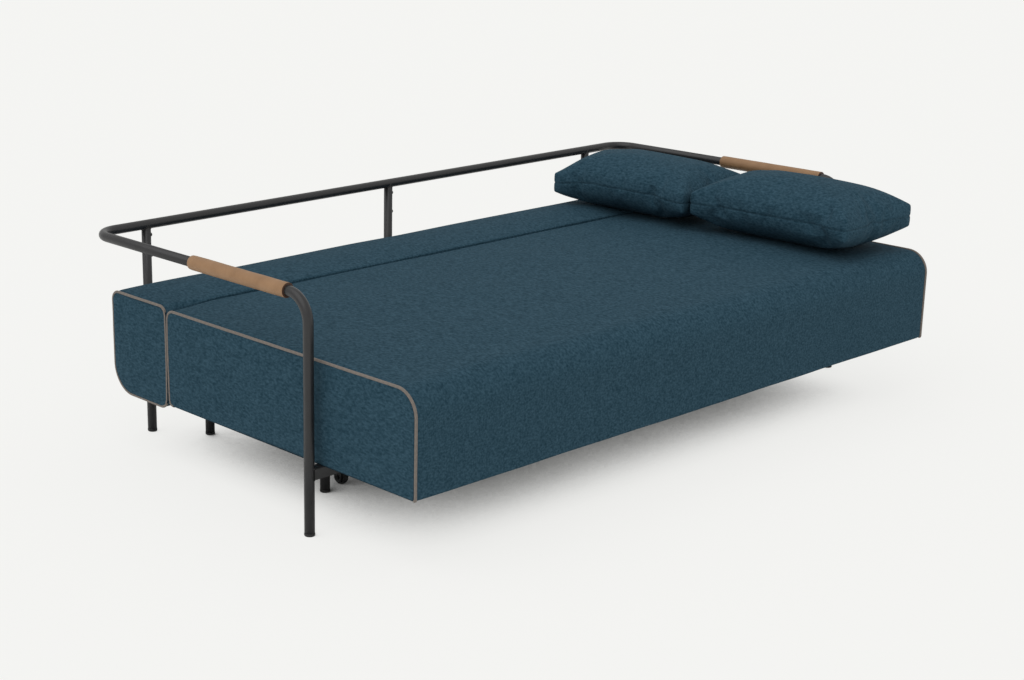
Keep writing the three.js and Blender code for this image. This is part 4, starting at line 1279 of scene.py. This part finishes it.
low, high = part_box("seat_base_board")
z = low.z - STAPLE_PROUD + STAPLE_WIRE
west, east = low.x + STAPLE_INSET, high.x - STAPLE_INSET
south, north = low.y + STAPLE_INSET, high.y - STAPLE_INSET
gap = STAPLE_SPACING / 2
edges = [[(west + gap, south), (east, south)], [(east, south + gap), (east, north)]]
edges += [[(east - gap, north), (west, north)], [(west, north - gap), (west, south)]]
edges = [[Vector((x, y, z)) for x, y in edge] for edge in edges]
crown = round_bar("one_staple", STAPLE_WIRE, STAPLE_CROWN, staple_wire)
line = {"Spacing": STAPLE_SPACING}
repeated("dust_cover_staples", edges, line_tree, crown, staple_wire, "seat", "screw_steel", **line)

# %% [markdown]
# Two screws with round heads hold each post's fitting from its right side. The head is turned with its
# shank in one profile, and the recess that the profile ends in is pulled from round to six-sided for the
# hex key.

# %% Post screws
SCREW_SIDES = 36
SHANK_LENGTH = 12 * MM
SHANK_RADIUS = 3 * MM
DOME_ANGLE = math.radians(72)
DOME_STEPS = 6
RIM_SHARE = 0.25
HEX_RADIUS = 2.6 * MM
HEX_DEPTH = 2.3 * MM
HEX_POINT = 0.4 * MM

screws = [name for name in nodes if name.startswith("post_screw")]
low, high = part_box(screws[0])
head_radius = (high.y - low.y) / 2
head_height = high.x - low.x - SHANK_LENGTH
profile = [(0, -SHANK_LENGTH), (SHANK_RADIUS, -SHANK_LENGTH), (SHANK_RADIUS, 0)]
profile += [(head_radius, 0), (head_radius, RIM_SHARE * head_height)]
for step in range(1, DOME_STEPS + 1):
    angle = DOME_ANGLE * step / DOME_STEPS
    rise = RIM_SHARE + (1 - RIM_SHARE) * math.sin(angle) / math.sin(DOME_ANGLE)
    profile.append((head_radius * math.cos(angle) ** 0.75, head_height * rise))
floor_height = head_height - HEX_DEPTH
profile += [(HEX_RADIUS, head_height), (HEX_RADIUS, floor_height), (0, floor_height - HEX_POINT)]
print("screw profile, mm:", [[round(value / MM, 1) for value in pair] for pair in profile])
screw = turn_profile("one_screw", profile, (0, 0, 0), (1, 0, 0), SCREW_SIDES, black_steel)
for vertex in screw.data.vertices:
    across = math.hypot(vertex.co.y, vertex.co.z)
    if vertex.co.x > 0.5 * MM and 0 < across < HEX_RADIUS + 0.1 * MM:
        sixth = math.atan2(vertex.co.z, vertex.co.y) % math.radians(60) - math.radians(30)
        squeeze = math.cos(math.radians(30)) / math.cos(sixth)
        vertex.co.y *= squeeze
        vertex.co.z *= squeeze
screw.data.set_sharp_from_angle(angle=SHARP_ANGLE)
places = []
for node in screws:
    low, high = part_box(node)
    places.append(Vector((high.x - head_height, (low.y + high.y) / 2, (low.z + high.z) / 2)))
places = [[place] for place in places]
post_screws = repeated("post_screws", places, point_tree, screw, black_steel, "frame", "screw_steel")
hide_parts(*screws)
for sample in (drop, stitch, crown, screw):
    bpy.data.objects.remove(sample)

# %% [markdown]
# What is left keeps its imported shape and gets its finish: the bars and brackets their paint, the plugs,
# runners and sliders their plastic, the castors' axles blackened steel, the seat's board its dust cover and
# the back's board its plywood.

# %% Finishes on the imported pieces
FINISHES = {
    "rear_stretcher": powder_coat,
    "front_stretcher": powder_coat,
    "guide_rail": powder_coat,
    "castor_bracket": powder_coat,
    "arm_joint_plug": moulded_plastic,
    "runner": moulded_plastic,
    "post_slider": moulded_plastic,
    "castor_axle": black_steel,
    "seat_base_board": dust_cover,
    "back_board": plywood,
}
for name, node in nodes.items():
    for start, finish in FINISHES.items():
        if name.startswith(start):
            node.data.materials.clear()
            node.data.materials.append(finish)
